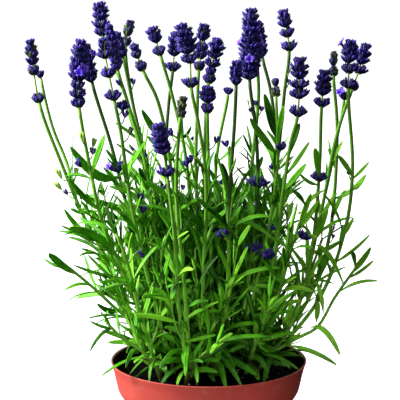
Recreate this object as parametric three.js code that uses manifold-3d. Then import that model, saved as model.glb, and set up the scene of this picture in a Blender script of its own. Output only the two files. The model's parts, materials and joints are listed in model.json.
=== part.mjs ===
// Potted lavender in a round nursery pot.
// Millimetres, +Z up. The origin is the centre of the pot's underside, and the front looks along -Y.

import * as THREE from 'three';
import { mergeVertices } from 'three/addons/utils/BufferGeometryUtils.js';
import Module from 'manifold-3d';

const wasm = await Module();
wasm.setup();

// Driving dimensions of the pot
const POT_HEIGHT = 110;
const RIM_DIAMETER = 140;
const BASE_DIAMETER = 98;
const BAND_HEIGHT = 22;
const BAND_TAPER = 3.5;
const BAND_STEP = 4.5;
const LIP_OVERHANG = 2;
const LIP_HEIGHT = 3;
const LIP_ROUND = 0.4;
const SHOULDER_HEIGHT = 6;
const FOOT_ROUND = 2.5;
const WALL = 1.6;
const INNER_STEP = 0.6;
const FLOOR = 2;
const POT_SIDES = 30;
const DRAIN_HOLES = 5;
const DRAIN_RADIUS = 4;
const DRAIN_CIRCLE = 33;
const DRAIN_SIDES = 8;

// Driving dimensions of the soil
const SOIL_TOP = 102;
const SOIL_SIDES = 20;
const SOIL_BUMP = 1.2;
const SOIL_INSET = 0.8;
const SEAT_GAP = 0.3;
const ROOT_DEPTH = 13;
const ROOT_HOLE_RADIUS = 2.3;
const ROOT_HOLE_SIDES = 4;

// Driving dimensions of the stems and flower heads
const STEM_HALF_WIDTH = 0.95;
const STEM_STEP = 32;
const SPINE_SAMPLES = 400;
const CALYXES = 6;
const SLIM_WHORL = 6.5;
const WHORL_SPACING = 6;
const WHORL_START = 0.65;
const RACHIS_RADIUS = 1;
const CORE_SHARE = 0.42;
const VALLEY_SHARE = 0.62;
const VALLEY_DROP = 0.2;
const CUP_DEPTH = 3.2;
const CUP_FOOT = 0.4;
const CALYX_LIFT = 2.6;
const DENSE_CUP_DEPTH = 1.7;
const DENSE_CALYX_LIFT = 1.7;
const HEAD_GAP = 0.35;

// Driving dimensions of the leaves
const LEAF_KEEL = 0.95;
const KEEL_ABOVE = 0.35;
const LEAF_STATIONS = [0.24, 0.68];
const LEAF_FULLNESS = 0.47;
const LEAF_SINK = 0.75;
const STEM_LEAF_SPACING = 48;
const SHOOT_LEAF_SPACING = 33;
const LEAF_START = 12;
const LEAFY_SHARE = 0.5;
const PAIR_TURN = 1.9;
const TIP_SHIFTS = [0, -4, 4, -8, 8, -12, 12];
const LEAF_TRIES = 24;
const FACE_FRONT = 1.8;
const OUTLINE_X = [-120, 116];
const LOW_OUTLINE_X = 100;
const LOW_OUTLINE_HEIGHT = 165;
const SHORTER_EACH_TRY = 0.018;
const LEAN_RANGE = [0.45, 1];
const LENGTH_RANGE = [25, 42];
const DROOP_RANGE = [0.15, 0.9];
const WIDTH_RANGE = [3.2, 4.8];
const SPREAD = 0.8;
const SPREAD_EACH_TRY = 0.2;
const OUTWARD_BEND = 0.3;

// The space that is taken is kept as balls, sorted into cubes
const CLEARANCE = 0.5;
const CUBE = 12;
const BALL_STEP = 3;
const WALL_MARGIN = 0.6;
const WALL_REACH = 4.4;
const SOIL_MARGIN = 1.4;

const Z_AXIS = new THREE.Vector3(0, 0, 1);
const Y_AXIS = new THREE.Vector3(0, 1, 0);

// Shoots: name, place in the soil or [parent, height] of a side shoot, points up to the tip, flower head.
// A head has a dense spike (length, radius) and looser whorls below it (distance from the tip, radius).
// collar is a single whorl left far down on the stem, at that distance from the tip.
const SHOOTS = [
  ['A', [-42, 12], [[-64, 1, 166], [-89, -5, 218], [-102, -8, 252], [-117, -11, 296], [-123, -12, 341]],
    { spike: 16.5, radius: 4.6, whorls: [[21.4, 4], [41, 4.4]] }],
  ['A2', ['A', 226], [[-100, 6, 252], [-109, 7, 275], [-115, 6, 300], [-118, 6, 317]],
    { spike: 4, radius: 3, whorls: [] }],
  ['B', [-32, -10], [[-56, -23, 170], [-73, -29, 214], [-81, -33, 253], [-88, -37, 297], [-89, -37, 311], [-86, -38, 344]],
    { spike: 27, radius: 7, whorls: [[31, 5.2], [37, 6.2], [43.2, 5]] }],
  ['B2', [-29, 14], [[-45, 6, 167], [-57, 2, 218], [-68, -2, 265], [-81, -3, 310], [-85, -4, 337]],
    { spike: 26, radius: 5.6, whorls: [], collar: [90, 6.8] }],
  ['D', [-21, 22], [[-35, 18, 171], [-44, 16, 237], [-59, 14, 300], [-74, 14, 340], [-76, 14, 364]],
    { spike: 11.5, radius: 6.4, whorls: [[15.2, 6.2], [20.4, 5.8]] }],
  ['D2', [-22, 4], [[-34, -2, 176], [-44, -6, 252], [-55, -7, 292], [-63, -8, 319], [-69, -8, 351]],
    { spike: 31, radius: 4.8, whorls: [] }],
  ['D3', [-16, 36], [[-28, 39, 166], [-41, 40, 232], [-53, 41, 282], [-61, 42, 321], [-66, 42, 340]],
    { spike: 18, radius: 4.3, whorls: [] }],
  ['E', [-24, -14], [[-41, -29, 172], [-53, -38, 230], [-60, -43, 283], [-64, -45, 304], [-72, -46, 346]],
    { spike: 7, radius: 3.2, whorls: [[10.8, 5.6], [24, 5.4], [39.8, 5.6]] }],
  ['F', [-13, 44], [[-24, 53, 163], [-43, 59, 229], [-56, 63, 291], [-60, 64, 327], [-56, 64, 346]],
    { spike: 10.8, radius: 3.9, whorls: [[15.8, 3.8]] }],
  ['G', [-13, -8], [[-20, -17, 172], [-25, -22, 244], [-35, -25, 300], [-45, -26, 321], [-52, -26, 340]],
    { spike: 10.2, radius: 4.1, whorls: [[16.6, 3.8]] }],
  ['H', [-8, 26], [[-11, 28, 161], [-16, 29, 249], [-26, 30, 296], [-34, 30, 324], [-40, 30, 345]],
    { spike: 10.6, radius: 5.7, whorls: [[17.8, 4.7]] }],
  ['I', [-9, 48], [[-19, 58, 154], [-31, 66, 235], [-29, 70, 283], [-26, 71, 307], [-24, 72, 337]],
    { spike: 17, radius: 5.6, whorls: [[26, 5.9]] }],
  ['J', [-4, -12], [[-4, -30, 168], [-2, -43, 248], [-7, -47, 287], [-12, -49, 312], [-13, -49, 332], [-19, -50, 356]],
    { spike: 19.5, radius: 7.6, whorls: [[24.2, 5.9], [40.4, 5.9]] }],
  ['K', [-12, -30], [[-17, -51, 180], [-22, -62, 245], [-19, -68, 296], [-17, -69, 310]],
    { spike: 8, radius: 3.4, whorls: [[11.4, 2.8]], green: true }],
  ['L', [-3, 10], [[-6, 11, 173], [-9, 12, 245], [-8, 12, 288], [-7, 12, 315], [-3, 12, 349]],
    { spike: 10.4, radius: 4.9, whorls: [[16.6, 4.6], [21.4, 4.8], [29.6, 3.8]] }],
  ['M', [3, 34], [[0, 39, 166], [-3, 43, 239], [0, 46, 301], [7, 46, 335]],
    { spike: 14, radius: 7, whorls: [[18.4, 6], [24.4, 3.6], [30, 4.8]] }],
  ['N', [4, -2], [[2, -15, 179], [0, -23, 244], [-1, -26, 290], [-1, -27, 311]],
    { spike: 10.4, radius: 6.5, whorls: [[15.6, 4.4]] }],
  ['O1', [17, -2], [[28, -10, 170], [34, -14, 239], [32, -17, 282], [28, -18, 312], [29, -18, 363]],
    { spike: 47.5, radius: 8.2, whorls: [], collar: [122, 8] }],
  ['O2', [14, 20], [[25, 16, 171], [31, 13, 252], [35, 12, 298], [34, 12, 322], [35, 12, 351]],
    { spike: 26.5, radius: 5.4, whorls: [] }],
  ['O3', [3, -22], [[13, -39, 174], [14, -48, 239], [17, -53, 288], [18, -55, 314], [18, -56, 332]],
    { spike: 15, radius: 4.6, whorls: [] }],
  ['O4', [22, 42], [[42, 50, 163], [50, 56, 244], [45, 59, 295], [39, 60, 319], [37.5, 60, 337]],
    { spike: 16, radius: 4.6, whorls: [] }],
  ['O5', [7, 52], [[6, 62, 161], [6, 71, 242], [14, 74, 286], [15, 75, 295.5]],
    { spike: 4, radius: 4.3, whorls: [] }],
  ['P', [23, 20], [[41, 25, 169], [50, 28, 256], [54, 30, 299], [57, 30, 328], [52, 30, 357]],
    { spike: 11.4, radius: 5.7, whorls: [[16.4, 5.5], [26.2, 5.8]] }],
  ['K2', ['O1', 122], [[36, -14, 179], [47, -21, 251], [46, -23, 302], [45, -24, 316]],
    { spike: 5, radius: 2.2, whorls: [[9.6, 2.4]], green: true }],
  ['Q', [26, -14], [[43, -26, 174], [51, -33, 239], [56, -35, 274], [60, -36, 290], [61, -38, 332]],
    { spike: 13.8, radius: 6.8, whorls: [[18.4, 7.2], [25, 6.8], [37.4, 6.8]] }],
  ['R', [34, -6], [[58, -7, 137], [71, -7, 181], [77, -8, 247], [78, -8, 292], [80, -8, 319.5]],
    { spike: 16.8, radius: 6.6, whorls: [[22.8, 6.6]], collar: [75, 6] }],
  ['S', [35, 24], [[68, 28, 139], [86, 31, 187], [92, 35, 270], [89, 36, 308], [89, 36, 327]],
    { spike: 10, radius: 3.2, whorls: [[14.4, 2.7]], green: true }],
  ['T', [39, 10], [[78, 1, 153], [96, -6, 207], [100, -10, 249], [96, -13, 305], [97, -14, 341]],
    { spike: 14.8, radius: 6.5, whorls: [[20, 5.4], [30.4, 5.8]] }],
  ['T2', ['U', 222], [[85, 14, 238], [90, 18, 262], [95, 18, 290], [96, 18, 300.5]],
    { spike: 5, radius: 5.8, whorls: [] }],
  ['U', [33, 4], [[62, 5, 145], [79, 5, 214], [90, 6, 272], [104, 6, 315], [110, 6, 336]],
    { spike: 14, radius: 6, whorls: [[18.6, 6.4], [31, 3.4]] }],
  ['V', [-15, -38], [[-17, -44, 130], [-21, -58, 168], [-23, -68, 212], [-28, -71, 257], [-34, -76, 293]],
    { spike: 20.5, radius: 6.7, whorls: [[34, 6.4]] }],
  ['side_left', ['mid_left', 112], [[-55, -22, 143], [-68, -30, 158], [-81, -35, 172], [-100, -38, 189]],
    null],
  ['low_left', ['bright_left', 114], [[-48, -38, 128], [-59, -42, 136], [-72, -46, 151]], null],
  ['mid_left', [-41, -4], [[-49, -9, 138], [-59, -13, 152], [-72, -16, 162]], null],
  ['bright_left', [-33, -30], [[-46, -44, 149], [-52, -52, 178], [-58, -55, 202], [-63, -56, 214]], null],
  ['side_right', ['R', 116], [[62, -14, 129], [76, -18, 138], [88, -20, 160], [103, -19, 182]], null],
  ['pair_right', ['Q', 130], [[47, -36, 162], [54, -43, 191], [61, -46, 217], [66, -48, 232]], null],
  ['low_right', ['Q', 112], [[33, -30, 130], [36, -38, 144], [42, -43, 156]], null],
  ['back_mid', ['O5', 112], [[2, 72, 142], [-2, 88, 170], [-4, 96, 192]], null],
  ['back_right', ['O4', 112], [[34, 62, 140], [36, 80, 168], [40, 90, 196]], null],
  ['back_left', ['I', 112], [[-24, 66, 138], [-42, 80, 162], [-54, 86, 188]], null],
  ['back_far_left', ['D3', 114], [[-36, 48, 138], [-62, 56, 162], [-80, 58, 184]], null],
  ['back_far_right', ['S', 116], [[56, 42, 136], [74, 54, 160], [84, 58, 186]], null],
  ['front_low', ['K', 112], [[-8, -46, 122], [0, -62, 134], [6, -74, 142]], null],
];

// Leaves placed one by one: shoot, height of the root on it, tip, width, rise of the arch
const PLACED_LEAVES = [
  ['B2', 242, [-96, -16, 267], 7.6, -9],
  ['B2', 243, [-43, -34, 274], 5.4, -3],
  ['B', 249, [-70, -47, 280], 5.6, 1],
  ['B', 246, [-98, -26, 248], 2.8, 2],
  ['B', 224, [-96, -40, 249], 4.6, -2],
  ['A', 199, [-101, -12, 222], 4.4, -4],
  ['A', 182, [-91, -13, 188], 2.8, 4],
  ['B', 194, [-96, -40, 214], 6.4, 4],
  ['A', 192, [-104, -8, 208], 3, 1],
  ['A', 188, [-100, 9, 197], 2.8, 2],
  ['E', 174, [-94, -34, 187], 3.2, -3],
  ['mid_left', 152, [-78, -24, 157], 4.4, -4],
  ['bright_left', 176, [-76, -47, 170], 2.8, 3],
  ['side_left', 172, [-99, -44, 171], 3.2, 3],
  ['side_left', 181, [-110, -44, 196], 4.6, -1],
  ['side_left', 186, [-114, -32, 191], 2.4, -2],
  ['low_left', 143, [-82, -50, 151], 2.8, -1],
  ['low_left', 146, [-74, -54, 159], 2.6, 1],
  ['low_left', 139, [-64, -36, 156], 2.8, 0],
  ['low_left', 143, [-82, -50, 129], 3, 5],
  ['E', 140, [-63, -36, 146], 3.6, -6],
  ['low_left', 129, [-57, -56, 119], 3.4, 4],
  ['G', 275, [-46, -32, 295], 5.8, -4],
  ['H', 265, [-12, 21, 275], 3, -2],
  ['G', 226, [-44, -27, 244], 5.4, 2],
  ['K', 250, [-21, -78, 270], 4, 2],
  ['J', 210, [-19, -46, 229], 5, 2],
  ['V', 166, [-45, -65, 172], 4.4, 2],
  ['V', 178, [-40, -52, 186], 2.6, 2],
  ['V', 135, [5, -56, 143], 3.4, 0],
  ['V', 129, [-34, -58, 119], 3.4, 5],
  ['K', 131, [-16, -64, 119], 4, 5],
  ['O3', 124, [18, -52, 119], 4, 4],
  ['O3', 136, [37, -42, 146], 4, 4],
  ['O3', 152, [-6, -44, 152], 3.6, 3],
  ['O3', 175, [49, -48, 188], 4, 3],
  ['O3', 214, [43, -55, 225], 3.6, 4],
  ['O3', 212, [-9, -56, 238], 5.2, 2],
  ['O3', 216, [22, -60, 234], 4.8, -2],
  ['O5', 240, [25, 66, 261], 3, -2],
  ['K2', 272, [38, -19, 304], 6.6, -2],
  ['K2', 270, [51, -22, 298], 5.2, 1],
  ['K2', 262, [28, -31, 289], 6, -2],
  ['Q', 264, [62, -29, 285], 4.8, 1],
  ['P', 250, [38, 40, 264], 3.4, -2],
  ['Q', 249, [69, -27, 272], 3.6, -1],
  ['Q', 239, [66, -46, 260], 5.4, -1],
  ['R', 243, [73, -18, 266], 5.8, 1],
  ['R', 238, [62, -16, 248], 3.2, -2],
  ['pair_right', 217, [69, -52, 241], 4.6, 0],
  ['pair_right', 214, [75, -38, 233], 4.8, -1],
  ['R', 197, [83, -18, 224], 5, -2],
  ['S', 220, [112, 26, 239], 4.2, -4],
  ['T', 244, [89, -20, 261], 4.8, 1],
  ['T', 242, [112, -4, 254], 3, -1],
  ['T', 236, [109, -18, 248], 3.6, -4],
  ['T', 201, [101, -14, 216], 3.4, -1],
  ['U', 186, [94, -8, 200], 4.4, -2],
  ['T', 181, [113, -12, 204], 3.2, -2],
  ['side_right', 169, [74, -30, 200], 4.2, 6],
  ['side_right', 164, [118, -24, 173], 3, 3],
  ['side_right', 178, [112, -26, 198], 5.6, -1],
  ['side_right', 174, [116, -8, 184], 3, -1],
  ['side_right', 136, [92, -26, 120], 4.8, 7],
  ['side_right', 140, [76, -30, 160], 4.6, 0],
  ['R', 118, [62, -36, 119], 4.4, 5],
  ['low_right', 150, [56, -48, 158], 3.6, 1],
  ['low_right', 146, [30, -54, 154], 4.6, 2],
];

// Every random draw comes from a seeded generator, so the plant is the same each time
function seeded(seed) {
  let state = seed >>> 0;
  return () => {
    state = (state + 0x6d2b79f5) >>> 0;
    let mixed = Math.imul(state ^ (state >>> 15), state | 1);
    mixed = (mixed + Math.imul(mixed ^ (mixed >>> 7), mixed | 61)) ^ mixed;
    return ((mixed ^ (mixed >>> 14)) >>> 0) / 4294967296;
  };
}

function vector(values) {
  return new THREE.Vector3(...values);
}

// Solids: a closed geometry as a manifold, and a manifold as a named mesh

function solid(geometry) {
  const bare = geometry.clone();
  bare.deleteAttribute('normal');
  bare.deleteAttribute('uv');
  const merged = mergeVertices(bare, 1e-4);
  const vertProperties = new Float32Array(merged.attributes.position.array);
  const triVerts = new Uint32Array(merged.index.array);
  const shape = new wasm.Manifold(new wasm.Mesh({ numProp: 3, vertProperties, triVerts }));
  if (shape.volume() > 0) {
    return shape;
  }
  const turned = triVerts.slice();
  for (let k = 0; k < turned.length; k += 3) {
    turned[k] = triVerts[k + 1];
    turned[k + 1] = triVerts[k];
  }
  return new wasm.Manifold(new wasm.Mesh({ numProp: 3, vertProperties, triVerts: turned }));
}

function fused(shapes) {
  const pieces = wasm.Manifold.union(shapes).decompose();
  pieces.sort((a, b) => b.volume() - a.volume());
  return pieces[0];
}

function namedMesh(name, shape, material) {
  const mesh = shape.getMesh();
  const geometry = new THREE.BufferGeometry();
  geometry.setAttribute('position', new THREE.BufferAttribute(new Float32Array(mesh.vertProperties), 3));
  geometry.setIndex(new THREE.BufferAttribute(new Uint32Array(mesh.triVerts), 1));
  geometry.computeVertexNormals();
  const piece = new THREE.Mesh(geometry, material);
  piece.name = name;
  return piece;
}

// Pot and soil

function lathe(profile, sides) {
  const points = profile.map(([r, z]) => new THREE.Vector2(r, z));
  return new THREE.LatheGeometry(points, sides).rotateX(Math.PI / 2);
}

const RIM_RADIUS = RIM_DIAMETER / 2;
const BASE_RADIUS = BASE_DIAMETER / 2;
const BAND_TOP_RADIUS = RIM_RADIUS - LIP_OVERHANG;
const BAND_FOOT_RADIUS = BAND_TOP_RADIUS - BAND_TAPER;
const BAND_FOOT = POT_HEIGHT - BAND_HEIGHT;
const BODY_TOP_RADIUS = BAND_FOOT_RADIUS - BAND_STEP;
const BODY_TOP = BAND_FOOT - SHOULDER_HEIGHT;

// Points of the pot's inner wall, from the rim down
const INNER_WALL = [
  [BAND_TOP_RADIUS - WALL - LIP_ROUND / 2, POT_HEIGHT - 2 * LIP_HEIGHT],
  [BAND_FOOT_RADIUS - WALL - INNER_STEP, BAND_FOOT + FOOT_ROUND],
  [BODY_TOP_RADIUS - WALL, BODY_TOP + WALL],
  [BASE_RADIUS - WALL, 2 * FLOOR],
  [BASE_RADIUS - WALL - FLOOR, FLOOR],
];

function pot() {
  const profile = [
    [0, 0],
    [BASE_RADIUS - FOOT_ROUND, 0],
    [BASE_RADIUS, FOOT_ROUND],
    [BODY_TOP_RADIUS, BODY_TOP],
    [BAND_FOOT_RADIUS, BAND_FOOT],
    [BAND_TOP_RADIUS, POT_HEIGHT - 2 * LIP_HEIGHT],
    [RIM_RADIUS, POT_HEIGHT - LIP_HEIGHT / 2],
    [RIM_RADIUS - LIP_ROUND, POT_HEIGHT - LIP_ROUND],
    [RIM_RADIUS - 3 * LIP_ROUND, POT_HEIGHT],
    [RIM_RADIUS - 5 * LIP_ROUND, POT_HEIGHT - 3 * LIP_ROUND],
    ...INNER_WALL,
    [0, FLOOR],
  ];
  let body = solid(lathe(profile, POT_SIDES));
  for (let k = 0; k < DRAIN_HOLES; k += 1) {
    const angle = (2 * Math.PI * (k + 0.5)) / DRAIN_HOLES;
    const cutter = new THREE.CylinderGeometry(DRAIN_RADIUS, DRAIN_RADIUS, 4 * FLOOR, DRAIN_SIDES);
    cutter.rotateX(Math.PI / 2);
    cutter.translate(DRAIN_CIRCLE * Math.cos(angle), DRAIN_CIRCLE * Math.sin(angle), FLOOR / 2);
    body = body.subtract(solid(cutter));
  }
  return body;
}

// Uneven top of the soil, level near the pot's wall
function soilHeight(x, y) {
  const fade = 1 - Math.min(1, Math.hypot(x, y) / (BODY_TOP_RADIUS - WALL)) ** 4;
  const bumps = Math.sin(x * 0.21 + 1.3) * Math.cos(y * 0.17 - 0.4) + 0.6 * Math.sin(x * 0.09 - y * 0.13);
  return SOIL_TOP + SOIL_BUMP * fade * bumps;
}

// Soil with a plain hole along the foot of each stem
function soil(roots) {
  const [top, bandFoot, bodyTop, , floorEdge] = INNER_WALL;
  const profile = [
    [0, FLOOR + SEAT_GAP],
    [floorEdge[0] - SOIL_INSET, FLOOR + SEAT_GAP],
    [bodyTop[0] - SOIL_INSET, bodyTop[1]],
    [bandFoot[0] - SOIL_INSET, bandFoot[1] + SEAT_GAP],
    [top[0] - 2 * SOIL_INSET, SOIL_TOP - SOIL_INSET],
    [BASE_RADIUS - SOIL_INSET, SOIL_TOP],
    [0, SOIL_TOP],
  ];
  const geometry = lathe(profile, SOIL_SIDES);
  const position = geometry.attributes.position;
  for (let k = 0; k < position.count; k += 1) {
    if (position.getZ(k) === SOIL_TOP) {
      position.setZ(k, soilHeight(position.getX(k), position.getY(k)));
    }
  }
  let ground = solid(geometry);
  const radius = ROOT_HOLE_RADIUS;
  for (const { foot, along } of roots) {
    const hole = new THREE.CylinderGeometry(radius, radius, 2 * ROOT_DEPTH, ROOT_HOLE_SIDES);
    hole.translate(0, ROOT_DEPTH - 1, 0);
    hole.applyQuaternion(new THREE.Quaternion().setFromUnitVectors(Y_AXIS, along));
    hole.translate(foot.x, foot.y, foot.z);
    ground = ground.subtract(solid(hole));
  }
  return ground;
}

// Stems: every shoot has a smooth spine, a square stem and, on most, a flower head at its end

function spineOf(shoot, spines) {
  const [, start, points] = shoot;
  const path = points.map(vector);
  if (typeof start[0] === 'string') {
    const parent = spines.get(start[0]);
    path.unshift(parent.getPointAt(shareAtHeight(parent, start[1])));
  } else {
    const entry = vector([...start, SOIL_TOP]);
    const along = path[0].clone().sub(entry).normalize();
    path.unshift(entry.clone().addScaledVector(along, 1 - ROOT_DEPTH), entry);
  }
  return new THREE.CatmullRomCurve3(path);
}

// Share of the spine's length at which it first reaches a height
function shareAtHeight(spine, z) {
  for (let k = 1; k <= SPINE_SAMPLES; k += 1) {
    if (spine.getPointAt(k / SPINE_SAMPLES).z >= z) {
      return k / SPINE_SAMPLES;
    }
  }
  return 1;
}

// The directions of a shoot at a distance along it: along the stem, to its side and to its front
function frameAt(spine, distance) {
  const share = Math.min(1, Math.max(0, distance / spine.getLength()));
  const centre = spine.getPointAt(share);
  const along = spine.getTangentAt(share);
  const side = new THREE.Vector3().crossVectors(Y_AXIS, along).normalize();
  const front = new THREE.Vector3().crossVectors(along, side);
  return { centre, along, side, front };
}

// Direction square to the stem at an angle round it
function outwardOf({ side, front }, angle) {
  return side.clone().multiplyScalar(Math.cos(angle)).addScaledVector(front, Math.sin(angle));
}

// Points of the straight stretches that a stem is made of
function stemPoints(spine, from, to) {
  const length = spine.getLength();
  const steps = Math.max(2, Math.round((to - from) / STEM_STEP));
  const points = [];
  for (let k = 0; k <= steps; k += 1) {
    points.push(spine.getPointAt(Math.min(1, (from + ((to - from) * k) / steps) / length)));
  }
  return points;
}

// Place on the straight stretches at a distance along the stem
function onStem({ points, stemEnd }, distance) {
  const place = Math.min(points.length - 1.001, ((points.length - 1) * distance) / stemEnd);
  const k = Math.floor(place);
  return points[k].clone().lerp(points[k + 1], place - k);
}

function stemSolid(points) {
  const steps = points.length - 1;
  const half = STEM_HALF_WIDTH;
  const section = new THREE.Shape([
    new THREE.Vector2(-half, -half),
    new THREE.Vector2(half, -half),
    new THREE.Vector2(half, half),
    new THREE.Vector2(-half, half),
  ]);
  const extrudePath = new THREE.CatmullRomCurve3(points);
  return solid(new THREE.ExtrudeGeometry(section, { steps, extrudePath, bevelEnabled: false }));
}

// Flower heads: rings of points round the spine, a star of calyx tips and valleys for each whorl

// Whorls from the tip down: distance from the tip, radius and whether it stands alone
function whorlsOf(head) {
  const count = Math.max(1, Math.round(head.spike / WHORL_SPACING));
  const whorls = [];
  for (let k = 0; k < count; k += 1) {
    const share = (k + WHORL_START) / count;
    const radius = head.radius * (1 - 0.5 * (1 - share) ** 3 - 0.1 * share ** 4);
    whorls.push({ distance: head.spike * share, radius, alone: false });
  }
  for (const [distance, radius] of head.whorls) {
    whorls.push({ distance, radius, alone: true });
  }
  return whorls;
}

// Points round the spine at their own radii, lifted along it by turns
function ring(spine, distance, radii, turn, lifts = [0]) {
  const frame = frameAt(spine, distance);
  return radii.map((radius, k) => {
    const outward = outwardOf(frame, turn + (2 * Math.PI * k) / radii.length);
    const point = frame.centre.clone().addScaledVector(outward, radius);
    return point.addScaledVector(frame.along, lifts[k % lifts.length]);
  });
}

// Closed surface through rings of points, with a point at each end
function ringSurface(start, rings, end) {
  const points = [start, ...rings.flat(), end];
  const faces = [];
  let first = 1;
  const open = rings[0].length;
  for (let k = 0; k < open; k += 1) {
    faces.push(0, first + ((k + 1) % open), first + k);
  }
  for (let r = 1; r < rings.length; r += 1) {
    const a = rings[r - 1].length;
    const b = rings[r].length;
    const next = first + a;
    let i = 0;
    let j = 0;
    while (i < a || j < b) {
      const stepLower = j >= b || (i < a && (i + 1) / a < (j + 1) / b + 1e-9);
      const lower = first + (i % a);
      const upper = next + (j % b);
      if (stepLower) {
        faces.push(lower, first + ((i + 1) % a), upper);
        i += 1;
      } else {
        faces.push(lower, next + ((j + 1) % b), upper);
        j += 1;
      }
    }
    first = next;
  }
  const close = rings[rings.length - 1].length;
  for (let k = 0; k < close; k += 1) {
    faces.push(first + k, first + ((k + 1) % close), points.length - 1);
  }
  const geometry = new THREE.BufferGeometry().setFromPoints(points);
  geometry.setIndex(faces);
  return geometry;
}

// A whorl is a narrow ring below and a star of calyx tips, and one that stands alone closes above too
function whorlRings(spine, at, whorl, order) {
  const n = whorl.radius > SLIM_WHORL ? CALYXES : CALYXES - 1;
  const turn = (order % 2) * (Math.PI / n);
  const core = whorl.alone ? RACHIS_RADIUS : Math.max(RACHIS_RADIUS, CORE_SHARE * whorl.radius);
  const below = whorl.alone ? CUP_DEPTH : DENSE_CUP_DEPTH;
  const lift = whorl.alone ? CALYX_LIFT : DENSE_CALYX_LIFT;
  const cores = Array(n).fill(core);
  const star = Array.from({ length: 2 * n }, (_, k) => whorl.radius * (k % 2 ? VALLEY_SHARE : 1));
  const rings = [
    ring(spine, at - below, cores, turn + Math.PI / n),
    ring(spine, at, star, turn, [lift, -VALLEY_DROP]),
  ];
  if (whorl.alone) {
    rings.push(ring(spine, at + CORE_SHARE * core, cores, turn + Math.PI / n));
  }
  return rings;
}

function headSurface(spine, whorls, top) {
  const length = spine.getLength();
  const upwards = [...whorls].reverse();
  const rings = upwards.flatMap((whorl, k) => whorlRings(spine, length - whorl.distance, whorl, k));
  const foot = length - upwards[0].distance - CUP_DEPTH - CUP_FOOT;
  return solid(ringSurface(frameAt(spine, foot).centre, rings, frameAt(spine, top).centre));
}

// Leaves: a lance-shaped blade with a keel below, on a curve from inside the stem to the tip

function leafSolid(leaf) {
  const half = LEAF_FULLNESS * leaf.width;
  const rings = LEAF_STATIONS.map((share) => {
    const centre = leaf.curve.getPoint(share);
    const along = leaf.curve.getTangent(share);
    const across = leaf.across.clone().addScaledVector(along, -leaf.across.dot(along)).normalize();
    const upper = new THREE.Vector3().crossVectors(along, across);
    const edge = centre.clone().addScaledVector(upper, KEEL_ABOVE * LEAF_KEEL);
    return [
      edge.clone().addScaledVector(across, half),
      edge.clone().addScaledVector(across, -half),
      centre.clone().addScaledVector(upper, (KEEL_ABOVE - 1) * LEAF_KEEL),
    ];
  });
  const root = leaf.curve.getPoint(0).addScaledVector(leaf.curve.getTangent(0), -LEAF_SINK);
  return solid(ringSurface(root, rings, leaf.curve.getPoint(1)));
}

// Record of the space that is taken: balls along every stem, head and leaf

const cubes = new Map();

function cubeKey(x, y, z) {
  return (x + 100) * 1000000 + (y + 100) * 1000 + z;
}

function takeBall(centre, radius, shoot, leaf = -1) {
  const key = cubeKey(Math.floor(centre.x / CUBE), Math.floor(centre.y / CUBE), Math.floor(centre.z / CUBE));
  if (!cubes.has(key)) {
    cubes.set(key, []);
  }
  cubes.get(key).push({ centre, radius, shoot, leaf });
}

function isFree(centre, radius, shoot, nearRoot) {
  const cx = Math.floor(centre.x / CUBE);
  const cy = Math.floor(centre.y / CUBE);
  const cz = Math.floor(centre.z / CUBE);
  for (let x = cx - 1; x <= cx + 1; x += 1) {
    for (let y = cy - 1; y <= cy + 1; y += 1) {
      for (let z = cz - 1; z <= cz + 1; z += 1) {
        for (const ball of cubes.get(cubeKey(x, y, z)) ?? []) {
          const own = ball.shoot === shoot && (ball.leaf < 0 || nearRoot);
          if (!own && ball.centre.distanceTo(centre) < ball.radius + radius + CLEARANCE) {
            return false;
          }
        }
      }
    }
  }
  return clearOfPot(centre, radius);
}

// Leaves stay over the soil and pass over the rim, not through it
function clearOfPot(centre, radius) {
  const out = Math.hypot(centre.x, centre.y);
  const reach = radius + CLEARANCE + WALL_MARGIN;
  if (out < RIM_RADIUS - WALL_REACH) {
    return centre.z > SOIL_TOP + SOIL_MARGIN + reach;
  }
  return out > RIM_RADIUS + reach || centre.z > POT_HEIGHT + reach;
}

function leafBalls(leaf) {
  const count = Math.ceil(leaf.length / BALL_STEP);
  const balls = [];
  for (let k = 1; k <= count; k += 1) {
    const share = k / count;
    const half = 0.5 * leaf.width * Math.min(1, 0.4 + 1.8 * share, 0.3 + 2.2 * (1 - share));
    balls.push({ centre: leaf.curve.getPoint(share), radius: half, nearRoot: share < 0.34 });
  }
  return balls;
}

function fits(leaf) {
  return leafBalls(leaf).every((ball) => isFree(ball.centre, ball.radius, leaf.shoot, ball.nearRoot));
}

function take(leaf, order) {
  for (const ball of leafBalls(leaf)) {
    takeBall(ball.centre, ball.radius, leaf.shoot, order);
  }
}

// A leaf lies across its stem, and where turned it also shows its upper face to the front
function makeLeaf(shoot, frame, control, tip, width, turned = 0) {
  const curve = new THREE.QuadraticBezierCurve3(frame.centre, control, tip);
  const reach = tip.clone().sub(frame.centre);
  const across = new THREE.Vector3().crossVectors(frame.along, reach).normalize();
  across.addScaledVector(new THREE.Vector3().crossVectors(reach, Y_AXIS).normalize(), turned).normalize();
  return { shoot, curve, across, width, length: curve.getLength() };
}

// A placed leaf: its tip is shifted back or forth until the blade lies clear of everything
function placedLeaf([name, height, tipPoint, width, rise]) {
  const shoot = shoots.find((one) => one.name === name);
  const distance = shareAtHeight(shoot.spine, height) * shoot.length;
  const frame = { ...frameAt(shoot.spine, distance), centre: onStem(shoot, distance) };
  for (const shift of TIP_SHIFTS) {
    const tip = vector(tipPoint).addScaledVector(Y_AXIS, shift);
    const control = frame.centre.clone().lerp(tip, 0.5).addScaledVector(Z_AXIS, 2 * rise);
    const leaf = makeLeaf(name, frame, control, tip, width, FACE_FRONT);
    if (fits(leaf)) {
      return leaf;
    }
  }
  return null;
}

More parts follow.
